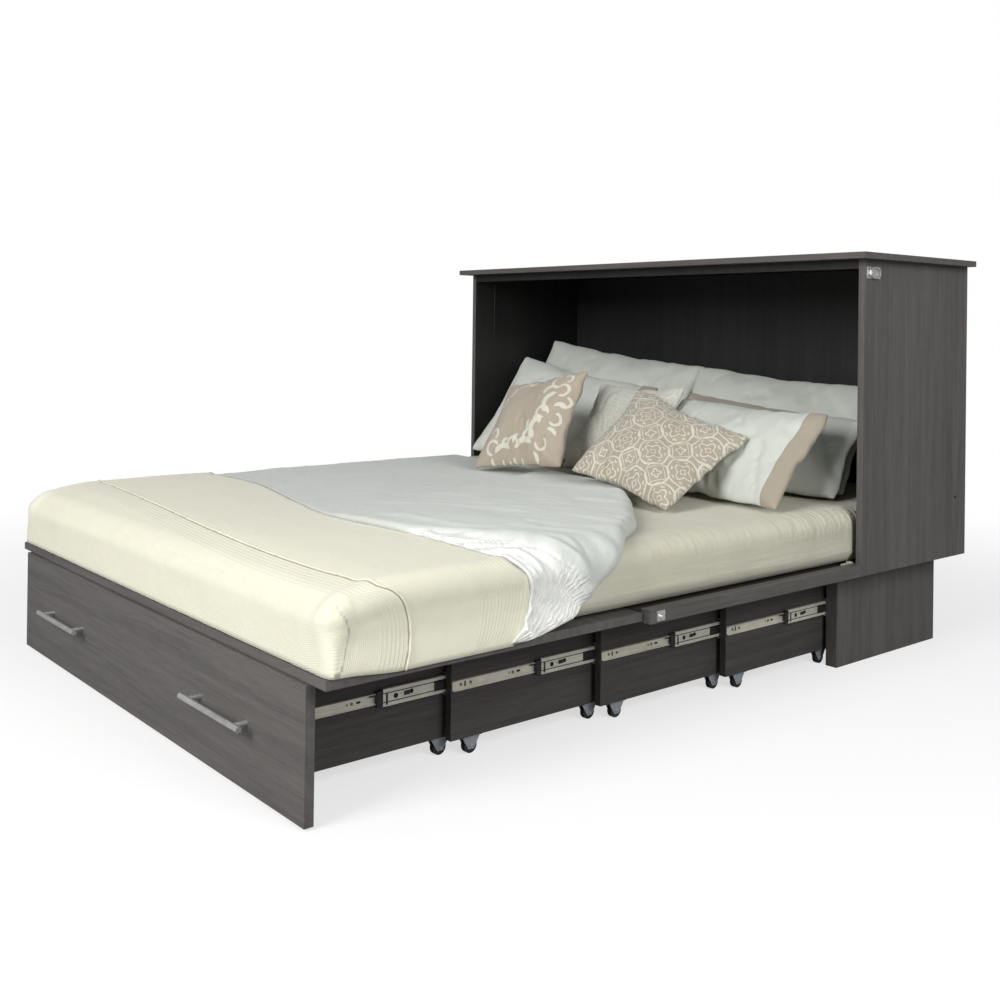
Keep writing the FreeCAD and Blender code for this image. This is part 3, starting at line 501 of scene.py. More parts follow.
@dataclass(frozen=True)
class Scrolls(Figured):
    """Appliqued garland of leaf scrolls.

    Each stroke is an arc: middle x and y, radius, the way it faces in degrees, half its
    opening in degrees, and half its width.
    """
    line: Colour = (0.72, 0.70, 0.60)
    raised: float = 3.0
    slubs: tuple[tuple[float, ...], ...] = ((1.2, 240, 3, 0.6), (2.0, 40, 5, 0.6))
    shift: float = 0.022            # whole garland towards the cushion's edge
    strokes: tuple[tuple[float, ...], ...] = (
        (0.085, 0.128, 0.030, 200, 100, 0.0050), (0.108, 0.088, 0.020, 20, 140, 0.0042),
        (0.133, 0.048, 0.017, -40, 145, 0.0040), (0.098, 0.040, 0.036, 170, 80, 0.0075),
        (0.066, 0.004, 0.021, 120, 140, 0.0046), (0.118, -0.014, 0.019, -30, 145, 0.0044),
        (0.076, -0.050, 0.040, 160, 75, 0.0085), (0.030, -0.070, 0.020, 110, 145, 0.0046),
        (0.082, -0.094, 0.018, -60, 145, 0.0042), (0.018, -0.118, 0.036, 100, 70, 0.0085),
        (-0.034, -0.092, 0.020, 80, 145, 0.0046), (-0.012, -0.148, 0.016, -90, 135, 0.0040),
        (-0.072, -0.132, 0.034, 100, 70, 0.0080), (-0.118, -0.104, 0.022, 150, 140, 0.0046),
        (-0.120, -0.058, 0.016, 60, 145, 0.0040), (-0.060, -0.152, 0.014, -100, 130, 0.0036),
        (0.104, 0.134, 0.016, 40, 120, 0.0046), (0.052, -0.020, 0.014, 60, 120, 0.0036),
        (0.070, 0.080, 0.024, 140, 70, 0.0065), (0.124, 0.014, 0.026, 100, 60, 0.0060),
        (0.040, -0.036, 0.022, 190, 60, 0.0060), (0.104, -0.070, 0.024, 60, 60, 0.0060),
        (-0.008, -0.084, 0.022, 150, 60, 0.0058), (0.046, -0.140, 0.022, 10, 60, 0.0058),
        (-0.060, -0.096, 0.020, 130, 60, 0.0055), (-0.098, -0.146, 0.020, 200, 60, 0.0055),
        (-0.100, 0.158, 0.030, -60, 60, 0.0045), (-0.050, 0.160, 0.028, -90, 62, 0.0045),
        (-0.142, 0.112, 0.030, -20, 60, 0.0045), (-0.148, 0.060, 0.022, 0, 80, 0.0040))

    def figure(self, shader: Shader) -> Value:
        """Arcs that taper towards their ends."""
        wobble = (shader.noise(shader.place(output="UV"), 60, 2, 0.5) - 0.5) * 0.0022
        across, along = shader.chart()
        marks = []
        for x, y, radius, facing, opening, width in self.strokes:
            a, b = across - x - self.shift, along - y + self.shift * 0.3
            around = (a * a + b * b).to("SQRT")
            turn = math.radians(facing)
            side = (a * math.cos(turn) + b * math.sin(turn)).to("DIVIDE", around)
            shut = math.cos(math.radians(opening))
            reach = side.ramp(shut, shut + 0.5) * (width * 1.2) + wobble
            marks.append((reach - abs(around - radius)).ramp(0.0, 0.0007))
        return union(marks)


LAMINATE = {grain: Laminate(f"laminate_{grain.name.lower()}", grain) for grain in Grain}
# Painted shade: laminate of the boards inside the cabinet, darkened to near black as if in the
# cabinet's shadow.
INTERIOR_SHADE = Laminate("interior_painted_shade", Grain.UPRIGHT, (0.010, 0.010, 0.0105),
                    (0.024, 0.023, 0.0235), 0.5)
DECK_FACE = Laminate("deck_laminate", Grain.LENGTHWAYS, (0.030, 0.028, 0.027),
                     (0.062, 0.058, 0.055), 0.5)
ZINC = Metal("zinc_plate", (0.88, 0.85, 0.73), 0.36, 0.45, drawn=(1, 0.04, 1))
NICKEL = Metal("brushed_nickel", (0.88, 0.88, 0.86), 0.28, 0.8, drawn=(0.05, 1, 1))
FORK_STEEL = Metal("fork_steel", (0.46, 0.50, 0.55), 0.40, 0.45)
# Black plastic of the wall stays and the levers; also used for painted shade in the grooves and
# open ends of the wide slide members.
BLACK_PLASTIC_AND_SHADE = Plastic("black_plastic_and_painted_shade", (0.018, 0.018, 0.019), 0.42)
TYRE = Plastic("tyre", (0.022, 0.022, 0.023), 0.55)
# Painted shade: the cabinet's sides and top are darkened on their faces inside the cabinet.
BOX_FINISH = Laminate("cabinet_laminate", Grain.UPRIGHT, shaded=0.86)
TOP_FINISH = Laminate("top_laminate", Grain.ACROSS, shaded=0.86)
# Painted shade: the segments' laminate is darker than the other boards, standing for the shadow of
# the deck above them.
SEGMENT_SHADE_FINISH = Laminate("segment_painted_shade", Grain.LENGTHWAYS, (0.042, 0.039, 0.038),
                          (0.085, 0.079, 0.076), 0.5)
SHEET_CLOTH = Fitted("bed_sheet", (0.62, 0.60, 0.48))
DUVET_CLOTH = Sateen("duvet_cotton", (0.60, 0.63, 0.59), 0.93)
# Near black: painted shade inside the holes and slots of the slides; also the colour of the cover
# caps on the cabinet sides.
HOLE_SHADE_AND_CAPS = Plastic("hole_shade_and_caps", (0.004, 0.004, 0.004), 0.7)
BRASS = Metal("screw_brass", (0.34, 0.24, 0.15), 0.4, 0.8)
PILLOW_CLOTH = Cloth("pillow_cotton", (0.64, 0.67, 0.61), 0.94)


# ---- Mesh helpers ----

def in_scene(name: str, data: bpy.types.ID) -> bpy.types.Object:
    """A new object, linked to the scene."""
    made = bpy.data.objects.new(name, data)
    bpy.context.scene.collection.objects.link(made)
    return made


def new_piece(name: str, mesh: bpy.types.Mesh, finish: bpy.types.Material | None = None,
              smooth: bool = True) -> bpy.types.Object:
    """Put a mesh in the scene as a piece.

    Args:
        name: the piece's name.
        mesh: its mesh, already in place.
        finish: its material.
        smooth: whether its faces are shaded smooth.

    Returns:
        The piece.
    """
    piece = in_scene(name, mesh)
    if finish is not None:
        mesh.materials.clear()
        mesh.materials.append(finish)
    if smooth:
        mesh.shade_smooth()
    return piece


def loop_points(mesh: bpy.types.Mesh) -> np.ndarray:
    """The point at every corner of every face."""
    corners = np.zeros(len(mesh.loops), np.int32)
    mesh.loops.foreach_get("vertex_index", corners)
    return corners


def chart_at_points(mesh: bpy.types.Mesh) -> np.ndarray:
    """A mesh's own map, read at its points."""
    chart = np.zeros(len(mesh.loops) * 2)
    mesh.uv_layers.active.data.foreach_get("uv", chart)
    flat = np.zeros((len(mesh.vertices), 2))
    flat[loop_points(mesh)] = chart.reshape(-1, 2)
    return flat


def sheet_mesh(name: str, points: np.ndarray, chart: np.ndarray | None = None) -> bpy.types.Mesh:
    """A quad sheet through a grid of points.

    Args:
        name: the mesh's name.
        points: rows by columns by 3.
        chart: rows by columns by 2, the piece's own map in metres.

    Returns:
        The mesh.
    """
    rows, columns, _ = points.shape
    index = np.arange(rows * columns).reshape(rows, columns)
    quads = np.stack([index[:-1, :-1], index[1:, :-1], index[1:, 1:], index[:-1, 1:]], -1)
    mesh = bpy.data.meshes.new(name)
    mesh.from_pydata(points.reshape(-1, 3).tolist(), [], quads.reshape(-1, 4).tolist())
    if chart is not None:
        layer = mesh.uv_layers.new(name="UVMap")
        corners = chart.reshape(-1, 2)[loop_points(mesh)]
        layer.data.foreach_set("uv", corners.astype(np.float32).ravel())
    return mesh


def welded(name: str, parts: Sequence[bpy.types.Mesh], distance: float = 0.0004) -> bpy.types.Mesh:
    """Several meshes made one, with touching points merged and faces turned outwards."""
    work = bmesh.new()
    for part in parts:
        work.from_mesh(part)
        bpy.data.meshes.remove(part)
    bmesh.ops.remove_doubles(work, verts=work.verts, dist=distance)
    bmesh.ops.recalc_face_normals(work, faces=work.faces)
    mesh = bpy.data.meshes.new(name)
    work.to_mesh(mesh)
    work.free()
    return mesh


def relief(points: np.ndarray, stretch: Sequence[float], octaves: int, seed: float) -> np.ndarray:
    """Crumpled height, about -1 to 1, at each point of a grid."""
    flat = (points.reshape(-1, 3) * np.array(stretch)).tolist()
    shift = Vector((seed, 1.7 * seed, -seed))
    heights = [noise.fractal(Vector(point) + shift, 0.85, 2.2, octaves) for point in flat]
    return np.array(heights).reshape(points.shape[:-1])


def smooth_step(value: np.ndarray, low: float, high: float) -> np.ndarray:
    """0 below low, 1 above high and smooth between."""
    share = np.clip((value - low) / (high - low), 0, 1)
    return share * share * (3 - 2 * share)


def noise_line(at: np.ndarray, scale: float, seed: float) -> np.ndarray:
    """Gentle waves along a line, about -1 to 1."""
    flat = np.stack([at * scale, np.full_like(at, seed), np.zeros_like(at)], -1)
    return relief(flat, (1, 1, 1), 2, seed)


def follow(knots: Sequence[tuple[float, float]], at: np.ndarray) -> np.ndarray:
    """A smooth curve through knots.

    Args:
        knots: places and values, in order.
        at: where the curve is wanted.

    Returns:
        The curve's values.
    """
    places, values = (np.array(column) for column in zip(*knots))
    slopes = np.gradient(values, places)
    cell = np.clip(np.searchsorted(places, at) - 1, 0, len(places) - 2)
    width = places[cell + 1] - places[cell]
    share = np.clip((at - places[cell]) / width, 0, 1)
    cube, square = share ** 3, share ** 2
    return (values[cell] * (2 * cube - 3 * square + 1) + slopes[cell] * width
            * (cube - 2 * square + share) + values[cell + 1] * (3 * square - 2 * cube)
            + slopes[cell + 1] * width * (cube - square))


# ---- Studio ----

@dataclass
class Studio:
    """Floor, lamps and the camera that took the picture."""
    place: Colour = (2.5251, FRONT - 2.5725, 0.8769)
    yaw: float = 49.2
    pitch: float = 0.2
    roll: float = 0.7
    focal: float = 1162.6           # in picture widths of a thousand
    centre: tuple[float, float] = (538.4, 323.2)
    picture: float = 1000.0
    sensor: float = 36.0
    bounce: float = 0.32            # floor's colour to everything but the camera
    glow: tuple[float, float] = (0.66, 0.34)    # under the bed, and more far from it
    ambient: float = 0.26           # world's light on the bed
    reach: float = 14.0             # floor's half width

    def floor(self) -> None:
        """A floor that looks white to the camera, takes the bed's shadow and bounces little."""
        shader = Shader("studio_floor")
        rays = shader.add("ShaderNodeLightPath")
        seen = Value(shader, rays.outputs["Is Camera Ray"])
        x, y, _ = shader.split(shader.place())
        far = (x * x + y * y).to("SQRT").ramp(1.2, 3.4)
        shader.finish(Base_Color=shader.mix(seen, (self.bounce,) * 3, (1.0, 1.0, 1.0)),
                      Roughness=0.9, Specular_IOR_Level=0.1)
        glow = shader.add("ShaderNodeEmission", None, {"Color": (1, 1, 1), "Strength": 1.0})
        near, more = self.glow
        blend = shader.add("ShaderNodeMixShader", None, {0: seen * (far * more + near)})
        shader.tree.links.new(shader.surface.outputs[0], blend.inputs[1])
        shader.tree.links.new(glow.outputs[0], blend.inputs[2])
        output = shader.tree.nodes["Material Output"]
        shader.tree.links.new(blend.outputs[0], output.inputs["Surface"])
        ends = (-self.reach, self.reach)
        corners = np.array([[[x, y, 0] for x in ends] for y in ends], float)
        floor = new_piece("floor", sheet_mesh("floor", corners), shader.material, False)
        floor.data.flip_normals()

    def world(self) -> None:
        """Even light from all round, white behind the bed."""
        world = bpy.data.worlds.new("studio")
        bpy.context.scene.world = world
        world.use_nodes = True
        tree = world.node_tree
        rays = tree.nodes.new("ShaderNodeLightPath")
        both = tree.nodes.new("ShaderNodeMath")
        both.operation = "MAXIMUM"
        tree.links.new(rays.outputs["Is Camera Ray"], both.inputs[0])
        tree.links.new(rays.outputs["Is Transmission Ray"], both.inputs[1])
        strength = tree.nodes.new("ShaderNodeMapRange")
        strength.inputs["To Min"].default_value = self.ambient
        strength.inputs["To Max"].default_value = 1.0
        tree.links.new(both.outputs[0], strength.inputs["Value"])
        background = tree.nodes["Background"]
        background.inputs["Color"].default_value = (1, 1, 1, 1)
        tree.links.new(strength.outputs[0], background.inputs["Strength"])

    def lamp(self, name: str, place: Colour, aim: Colour, size: float, power: float) -> None:
        """A square soft lamp turned towards a point."""
        light = bpy.data.lights.new(name, "AREA")
        light.size = size
        light.energy = power
        lamp = in_scene(name, light)
        direction = Vector(aim) - Vector(place)
        lamp.location = place
        lamp.rotation_euler = direction.to_track_quat("-Z", "Y").to_euler()

    def lamps(self) -> None:
        """A large lamp over the foot of the bed and a weaker one from its right side."""
        self.lamp("key_lamp", (0.9, -5.0, 2.7), (0.0, -0.4, 0.35), 2.4, 235)
        self.lamp("side_lamp", (4.2, -0.3, 2.5), (0.3, -0.2, 0.3), 2.0, 98)

    def camera(self) -> None:
        """The camera, turned and shifted as the picture was framed."""
        yaw, pitch, roll = (math.radians(angle) for angle in (self.yaw, self.pitch, self.roll))
        ahead = Vector((-math.sin(yaw) * math.cos(pitch), math.cos(yaw) * math.cos(pitch),
                        math.sin(pitch)))
        right = Vector((math.cos(yaw), math.sin(yaw), 0))
        up = right.cross(ahead)
        side = right * math.cos(roll) + up * math.sin(roll)
        top = up * math.cos(roll) - right * math.sin(roll)
        data = bpy.data.cameras.new("camera")
        data.sensor_width = self.sensor
        data.lens = self.focal * self.sensor / self.picture
        data.shift_x = (self.picture / 2 - self.centre[0]) / self.picture
        data.shift_y = (self.centre[1] - self.picture / 2) / self.picture
        data.clip_end = 60
        camera = in_scene("camera", data)
        turn = Matrix((side, top, -ahead)).transposed().to_4x4()
        camera.matrix_world = Matrix.Translation(self.place) @ turn
        bpy.context.scene.camera = camera

    def build(self) -> None:
        """Set the studio up."""
        bpy.context.scene.view_settings.view_transform = "Standard"
        self.floor()
        self.world()
        self.lamps()
        self.camera()
        LOG.info("studio set")


# ---- Boards and metal of the frame ----

STAGES = ("drawer", "segment_two", "segment_three", "segment_four")


def staged(*parts: str) -> tuple[str, ...]:
    """Node names of the same parts on every stage of the base."""
    return tuple(f"{stage}_{part}" for part in parts for stage in STAGES)


@dataclass
class Frame:
    """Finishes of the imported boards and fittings, each with its nodes."""
    finishes: tuple[tuple[Laminate | Metal | Plastic, tuple[str, ...]], ...] = (
        (BOX_FINISH, ("cabinet_side_right", "cabinet_side_left")),
        (TOP_FINISH, ("cabinet_top",)),
        (LAMINATE[Grain.UPRIGHT], ("plinth_sides", "plinth_back")),
        (LAMINATE[Grain.ACROSS], ("drawer_front", "foot_deck")),
        (INTERIOR_SHADE, ("cabinet_back", "top_stretcher", "head_deck")),
        (LAMINATE[Grain.LENGTHWAYS], ("rail_right", "rail_left")),
        (SEGMENT_SHADE_FINISH, staged("sides")),
        (DECK_FACE, ("middle_deck", "drawer_floor", *staged("cross_board"))),
        (ZINC, ("plinth_slides", "runner_1", "runner_2", "runner_3", "runner_4",
                "fold_hinge_middle", "fold_hinge_foot", "deck_hinge_moving",
                "deck_hinge_fixed", *staged("slides"))),
        (NICKEL, ("drawer_handles", "latch_plates", "bail_right", "bail_left", "rail_keepers")),
        (BLACK_PLASTIC_AND_SHADE, ("wall_stays",)),
        (FORK_STEEL, staged("casters")),
        (TYRE, staged("wheels_front", "wheels_rear")))

    def build(self) -> None:
        """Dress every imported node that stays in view."""
        for finish, names in self.finishes:
            material = finish.material()
            for name in names:
                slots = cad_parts[name].data.materials
                slots.clear()
                slots.append(material)
        LOG.info("frame dressed")


# ---- Bedding ----

@dataclass
class Bed:
    """The mattress that all the bedding follows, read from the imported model."""
    low: Vector = field(default_factory=lambda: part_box("mattress")[0])
    high: Vector = field(default_factory=lambda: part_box("mattress")[1])
    rounding: float = 0.045
    bulge: float = 0.018            # sides beyond the mattress's own width
    splay: float = 0.015            # hanging cloth pushed out by the rail
    splayed: tuple[float, float] = (0.262, 0.335)       # heights between which it is pushed
    sag: float = 0.024              # lowering of the top at the foot

    @property
    def half(self) -> float:
        """Half width of the bulging sides."""
        return self.high.x + self.bulge

    @property
    def flat(self) -> float:
        """Half width of the flat top."""
        return self.half - self.rounding

    @property
    def turn(self) -> float:
        """Length of the rounded edge."""
        return self.rounding * math.pi / 2

    def over(self, across: np.ndarray, along: np.ndarray, height: np.ndarray) -> np.ndarray:
        """Lay a flat cloth over the mattress and down its sides.

        Args:
            across: distance from the bed's middle, along the cloth.
            along: y.
            height: distance out from the mattress's surface.

        Returns:
            Places in space.
        """
        side = np.sign(across)
        reach = np.abs(across) - self.flat
        angle = np.clip(reach, 0, self.turn) / self.rounding
        drop = np.clip(reach - self.turn, 0, None)
        x = np.minimum(np.abs(across), self.flat) + (self.rounding + height) * np.sin(angle)
        z = self.high.z - self.rounding + (self.rounding + height) * np.cos(angle) - drop
        z = np.where(reach <= 0, self.high.z + height, z)
        x = x + self.splay * (1 - smooth_step(z, *self.splayed)) * (reach > 0)
        return np.stack([side * x, along, z], -1)

    def slump(self, points: np.ndarray) -> np.ndarray:
        """Lower the soft top towards the foot of the bed."""
        share = 1 - smooth_step(points[..., 1], self.low.y - 0.02, self.low.y + 0.19)
        high = smooth_step(points[..., 2], self.low.z + 0.04, self.high.z)
        moved = points.copy()
        moved[..., 2] -= self.sag * share ** 1.6 * high
        return moved

    def squashed(self, piece: bpy.types.Object, lean: float = 0.0) -> None:
        """Give the finished soft piece a mesh of its own.

        Args:
            piece: the finished soft piece.
            lean: not used.
        """
        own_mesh(piece)


@dataclass
class Mattress:
    """Thick mattress in its fitted sheet."""
    bed: Bed
    cell: float = 0.011
    lower: float = 0.006            # rounding of the lower edge

    def shell(self) -> bpy.types.Mesh:
        """A rounded block with a grid on every face and a map in metres."""
        low, high = np.array(self.bed.low), np.array(self.bed.high)
        radius = self.bed.rounding
        parts = []
        for axis in range(3):
            first, second = [a for a in range(3) if a != axis]
            counts = [int((high[a] - low[a]) / self.cell) + 1 for a in (first, second)]
            grids = np.meshgrid(*(np.linspace(low[a], high[a], n)
                                  for a, n in zip((first, second), counts)), indexing="ij")
            for value in (low[axis], high[axis]):
                points = np.zeros(grids[0].shape + (3,))
                points[..., first], points[..., second] = grids
                points[..., axis] = value
                chart = np.stack([points[..., 0] + points[..., 2], points[..., 1]], -1)
                if axis == 1:
                    chart = np.stack([points[..., 0], points[..., 2]], -1)
                floor = low + (radius, radius, self.lower)
                core = np.clip(points, floor, high - radius)
                out = points - core
                length = np.linalg.norm(out, axis=-1, keepdims=True)
                out = out / np.maximum(length, 1e-9)
                reach = np.where(out[..., 2:] < 0, self.lower, radius)
                points = core + out * np.minimum(length, reach)
                parts.append(sheet_mesh("mattress_face", self.soften(points, out), chart))
        return welded("mattress_sheet", parts, 0.0008)

    def soften(self, points: np.ndarray, out: np.ndarray) -> np.ndarray:
        """Swell the sides above the hinges and pull the sheet into long soft waves."""
        low, high = self.bed.low, self.bed.high
        x, y, z = (points[..., axis] for axis in range(3))
        swell = self.bed.bulge * smooth_step(z, 0.286, 0.305)
        head = 1 - smooth_step(y, FRONT - 0.01, FRONT + 0.03) * 0.4
        waves = relief(points, (2.0, 2.6, 9), 2, 9.4) * 0.0014 * smooth_step(z, low.z, 0.32)
        pull = smooth_step(y, FRONT - 0.6, FRONT - 0.1) * smooth_step(z, 0.33, 0.40)
        folds = relief(points, (6, 38, 6), 3, 3.1) * 0.0016 * pull
        folds = folds * smooth_step(np.abs(x), 0.6, 0.74)
        limit = np.minimum(waves + folds, 0.0025) - 0.001
        moved = points + out * limit[..., None]
        moved[..., 0] += np.sign(x) * swell * head * smooth_step(np.abs(x), high.x - 0.06, high.x)
        under = z < low.z + 1e-6
        moved[..., 2] = np.where(under, low.z, np.maximum(moved[..., 2], low.z))
        return self.bed.slump(moved)

    def build(self) -> bpy.types.Object:
        """The mattress."""
        piece = new_piece("mattress_sheet", self.shell(), SHEET_CLOTH.material())
        self.bed.squashed(piece)
        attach(piece, "cabinet")
        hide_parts("mattress")
        return piece


Knots = tuple[tuple[float, float], ...]

# The blanket's head edge, with the duvet under it: distance across the cloth, and y from the
# cabinet's front plane.
BLANKET_HEAD: Knots = (
    (-0.95, -1.030), (-0.78, -1.030), (-0.50, -1.022), (-0.141, -1.090), (0.135, -1.142),
    (0.272, -1.138), (0.430, -1.130), (0.639, -1.133), (0.722, -1.136), (0.770, -1.128),
    (0.797, -1.106), (0.823, -1.094), (0.864, -1.099), (0.897, -1.120), (0.923, -1.150),
    (0.950, -1.180))


@dataclass
class Blanket:
    """Ribbed blanket over the foot of the bed, tucked down at its sides."""
    bed: Bed
    thickness: float = 0.0050
    gap: float = 0.0010
    hem: float = 0.2735
    overhang: float = 0.0095        # side hem below the deck's top
    cell: float = 0.012
    edge: float = 0.012             # rounding at the hem, and what the top has beyond the bed's
    foot: float = 0.0095            # foot face beyond the mattress
    cut: float = 0.031              # how much shorter the way round an edge is than over a corner
    seam: Knots = (
        (-0.95, -1.350), (-0.682, -1.364), (-0.304, -1.392), (0.086, -1.431), (0.492, -1.453),
        (0.684, -1.449), (0.750, -1.440), (0.782, -1.410), (0.814, -1.386), (0.864, -1.374),
        (0.928, -1.396), (0.960, -1.410))
    crease: Knots = (
        (0.270, -1.546), (0.275, -1.534), (0.293, -1.520), (0.325, -1.507), (0.360, -1.505),
        (0.378, -1.510), (0.404, -1.521), (0.440, -1.540))

    def rows(self) -> np.ndarray:
        """Row places: 0 at the foot, 1 at the pin tuck and 2 at the head edge."""
        return np.concatenate([np.linspace(0, 0.42, 26), np.linspace(0.46, 0.92, 11),
                               np.linspace(0.94, 1.08, 29), np.linspace(1.11, 2, 30)])

    def shell(self) -> bpy.types.Mesh:
        """Top, foot and two sides, welded along the corners."""
        bed = self.bed
        out = self.gap + self.thickness
        low = np.array((-bed.half - out, bed.low.y - self.foot, self.hem))
        high = np.array((bed.half + out, bed.high.y, bed.high.z + out))
        radius = bed.rounding + self.edge
        xs = np.linspace(low[0], high[0], int((high[0] - low[0]) / self.cell))
        zs = np.linspace(low[2], high[2], int((high[2] - low[2]) / self.cell) + 4)
        rows = self.rows()
        faces = []
        for kind in ("top", "foot", "right", "left"):
            if kind == "foot":
                x, z = np.meshgrid(xs, zs, indexing="ij")
                place = np.zeros_like(x)
            elif kind == "top":
                x, place = np.meshgrid(xs, rows, indexing="ij")
                z = np.full_like(x, high[2])
            else:
                place, z = np.meshgrid(rows, zs, indexing="ij")
                x = np.full_like(z, high[0] if kind == "right" else low[0])
            down = np.where(kind == "foot", 0, high[2] - z)
            across = np.sign(x) * (np.abs(x) + down
                                   - self.cut * smooth_step(np.abs(x), 0.735, high[0]))
            seam, head = FRONT + follow(self.seam, across), FRONT + follow(BLANKET_HEAD, across)
            y = np.where(place <= 1, low[1] + place * (seam - low[1]),
                         seam + (place - 1) * (head - seam))
            points, normal = self.rounded(np.stack([x, y, z], -1), low, high, radius)
            past = (place - 1).clip(0) * 0.30 + np.minimum(y - seam, 0)
            corner = FRONT + follow(self.crease, z)
            foot = (kind == "foot") | ((kind in ("right", "left")) & (y < corner))
            along = np.where(foot, low[1] - seam - (high[2] - z), past)
            chart = np.stack([across, along], -1)
            pinch = 0.4 + 0.9 * np.exp(-((z - 0.395) / 0.016) ** 2)
            lift = pinch * (0.0022 * np.exp(-((y - corner) / 0.0075) ** 2)
                            - 0.0016 * np.exp(-((y - corner - 0.016) / 0.008) ** 2))
            lift = lift * (np.abs(x) > high[0] - 1e-6) * smooth_step(z, 0.285, 0.32)
            faces.append(sheet_mesh(kind, self.shaped(points, normal, past, lift), chart))
        return welded("blanket_ribbed", faces, 0.0012)

    def rounded(self, points: np.ndarray, low: np.ndarray, high: np.ndarray,
                radius: float) -> tuple[np.ndarray, np.ndarray]:
        """Round the corners, less and less towards the hem.

        Args:
            points: places on a box.
            low: its lower corner.
            high: its upper corner.
            radius: rounding at the top.

        Returns:
            The rounded places and the directions out of them.
        """
        share = smooth_step(points[..., 2], low[2], high[2] - radius)
        plan = self.edge + (radius - self.edge) * share
        core = np.stack([np.clip(points[..., 0], low[0] + plan, high[0] - plan),
                         np.maximum(points[..., 1], low[1] + plan),
                         np.minimum(points[..., 2], high[2] - radius)], -1)
        away = points - core
        length = np.linalg.norm(away, axis=-1, keepdims=True)
        normal = away / np.maximum(length, 1e-9)
        square = 0.012 * (2 * np.abs(normal[..., 0] * normal[..., 1])) * share
        square = square + 0.011 * (2 * np.abs(normal[..., 0] * normal[..., 2]))
        return core + normal * (plan + square)[..., None], normal

    def shaped(self, points: np.ndarray, normal: np.ndarray, past: np.ndarray,
               lift: np.ndarray) -> np.ndarray:
        """Raise the pin tuck, soften the surface, and hang the hem over the deck's edge."""
        tuck = 0.0034 * np.exp(-(past / 0.0026) ** 2)
        swell = relief(points, (1.8, 2.0, 2.6), 2, 5.5) * 0.0032
        folds = relief(points, (5, 6, 2.0), 3, 7.7) * 0.0020 * np.abs(normal[..., :2]).max(-1)
        high = smooth_step(points[..., 2], self.hem, self.hem + 0.06)
        moved = points + normal * (tuck + lift + (swell + folds) * (0.15 + 0.85 * high))[..., None]
        past_corner = smooth_step(points[..., 1], self.bed.low.y + 0.01, self.bed.low.y + 0.14)
        low = (1 - high) * np.abs(normal[..., 0])
        moved[..., 0] += np.sign(points[..., 0]) * low * 0.0105
        moved[..., 2] -= low * past_corner * self.overhang
        return self.bed.slump(moved)

    def build(self) -> bpy.types.Object:
        """The blanket."""
        finish = Ribbed("ribbed_blanket", (0.80, 0.785, 0.63), 0.95,
                        bands=((-0.036, 0.028), (0.237, 0.066)))
        piece = new_piece("blanket_ribbed", self.shell(), finish.material())
        thick = piece.modifiers.new("cloth", "SOLIDIFY")
        thick.thickness = self.thickness
        thick.offset = -1
        self.bed.squashed(piece)
        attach(piece, "cabinet")
        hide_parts("blanket")
        return piece


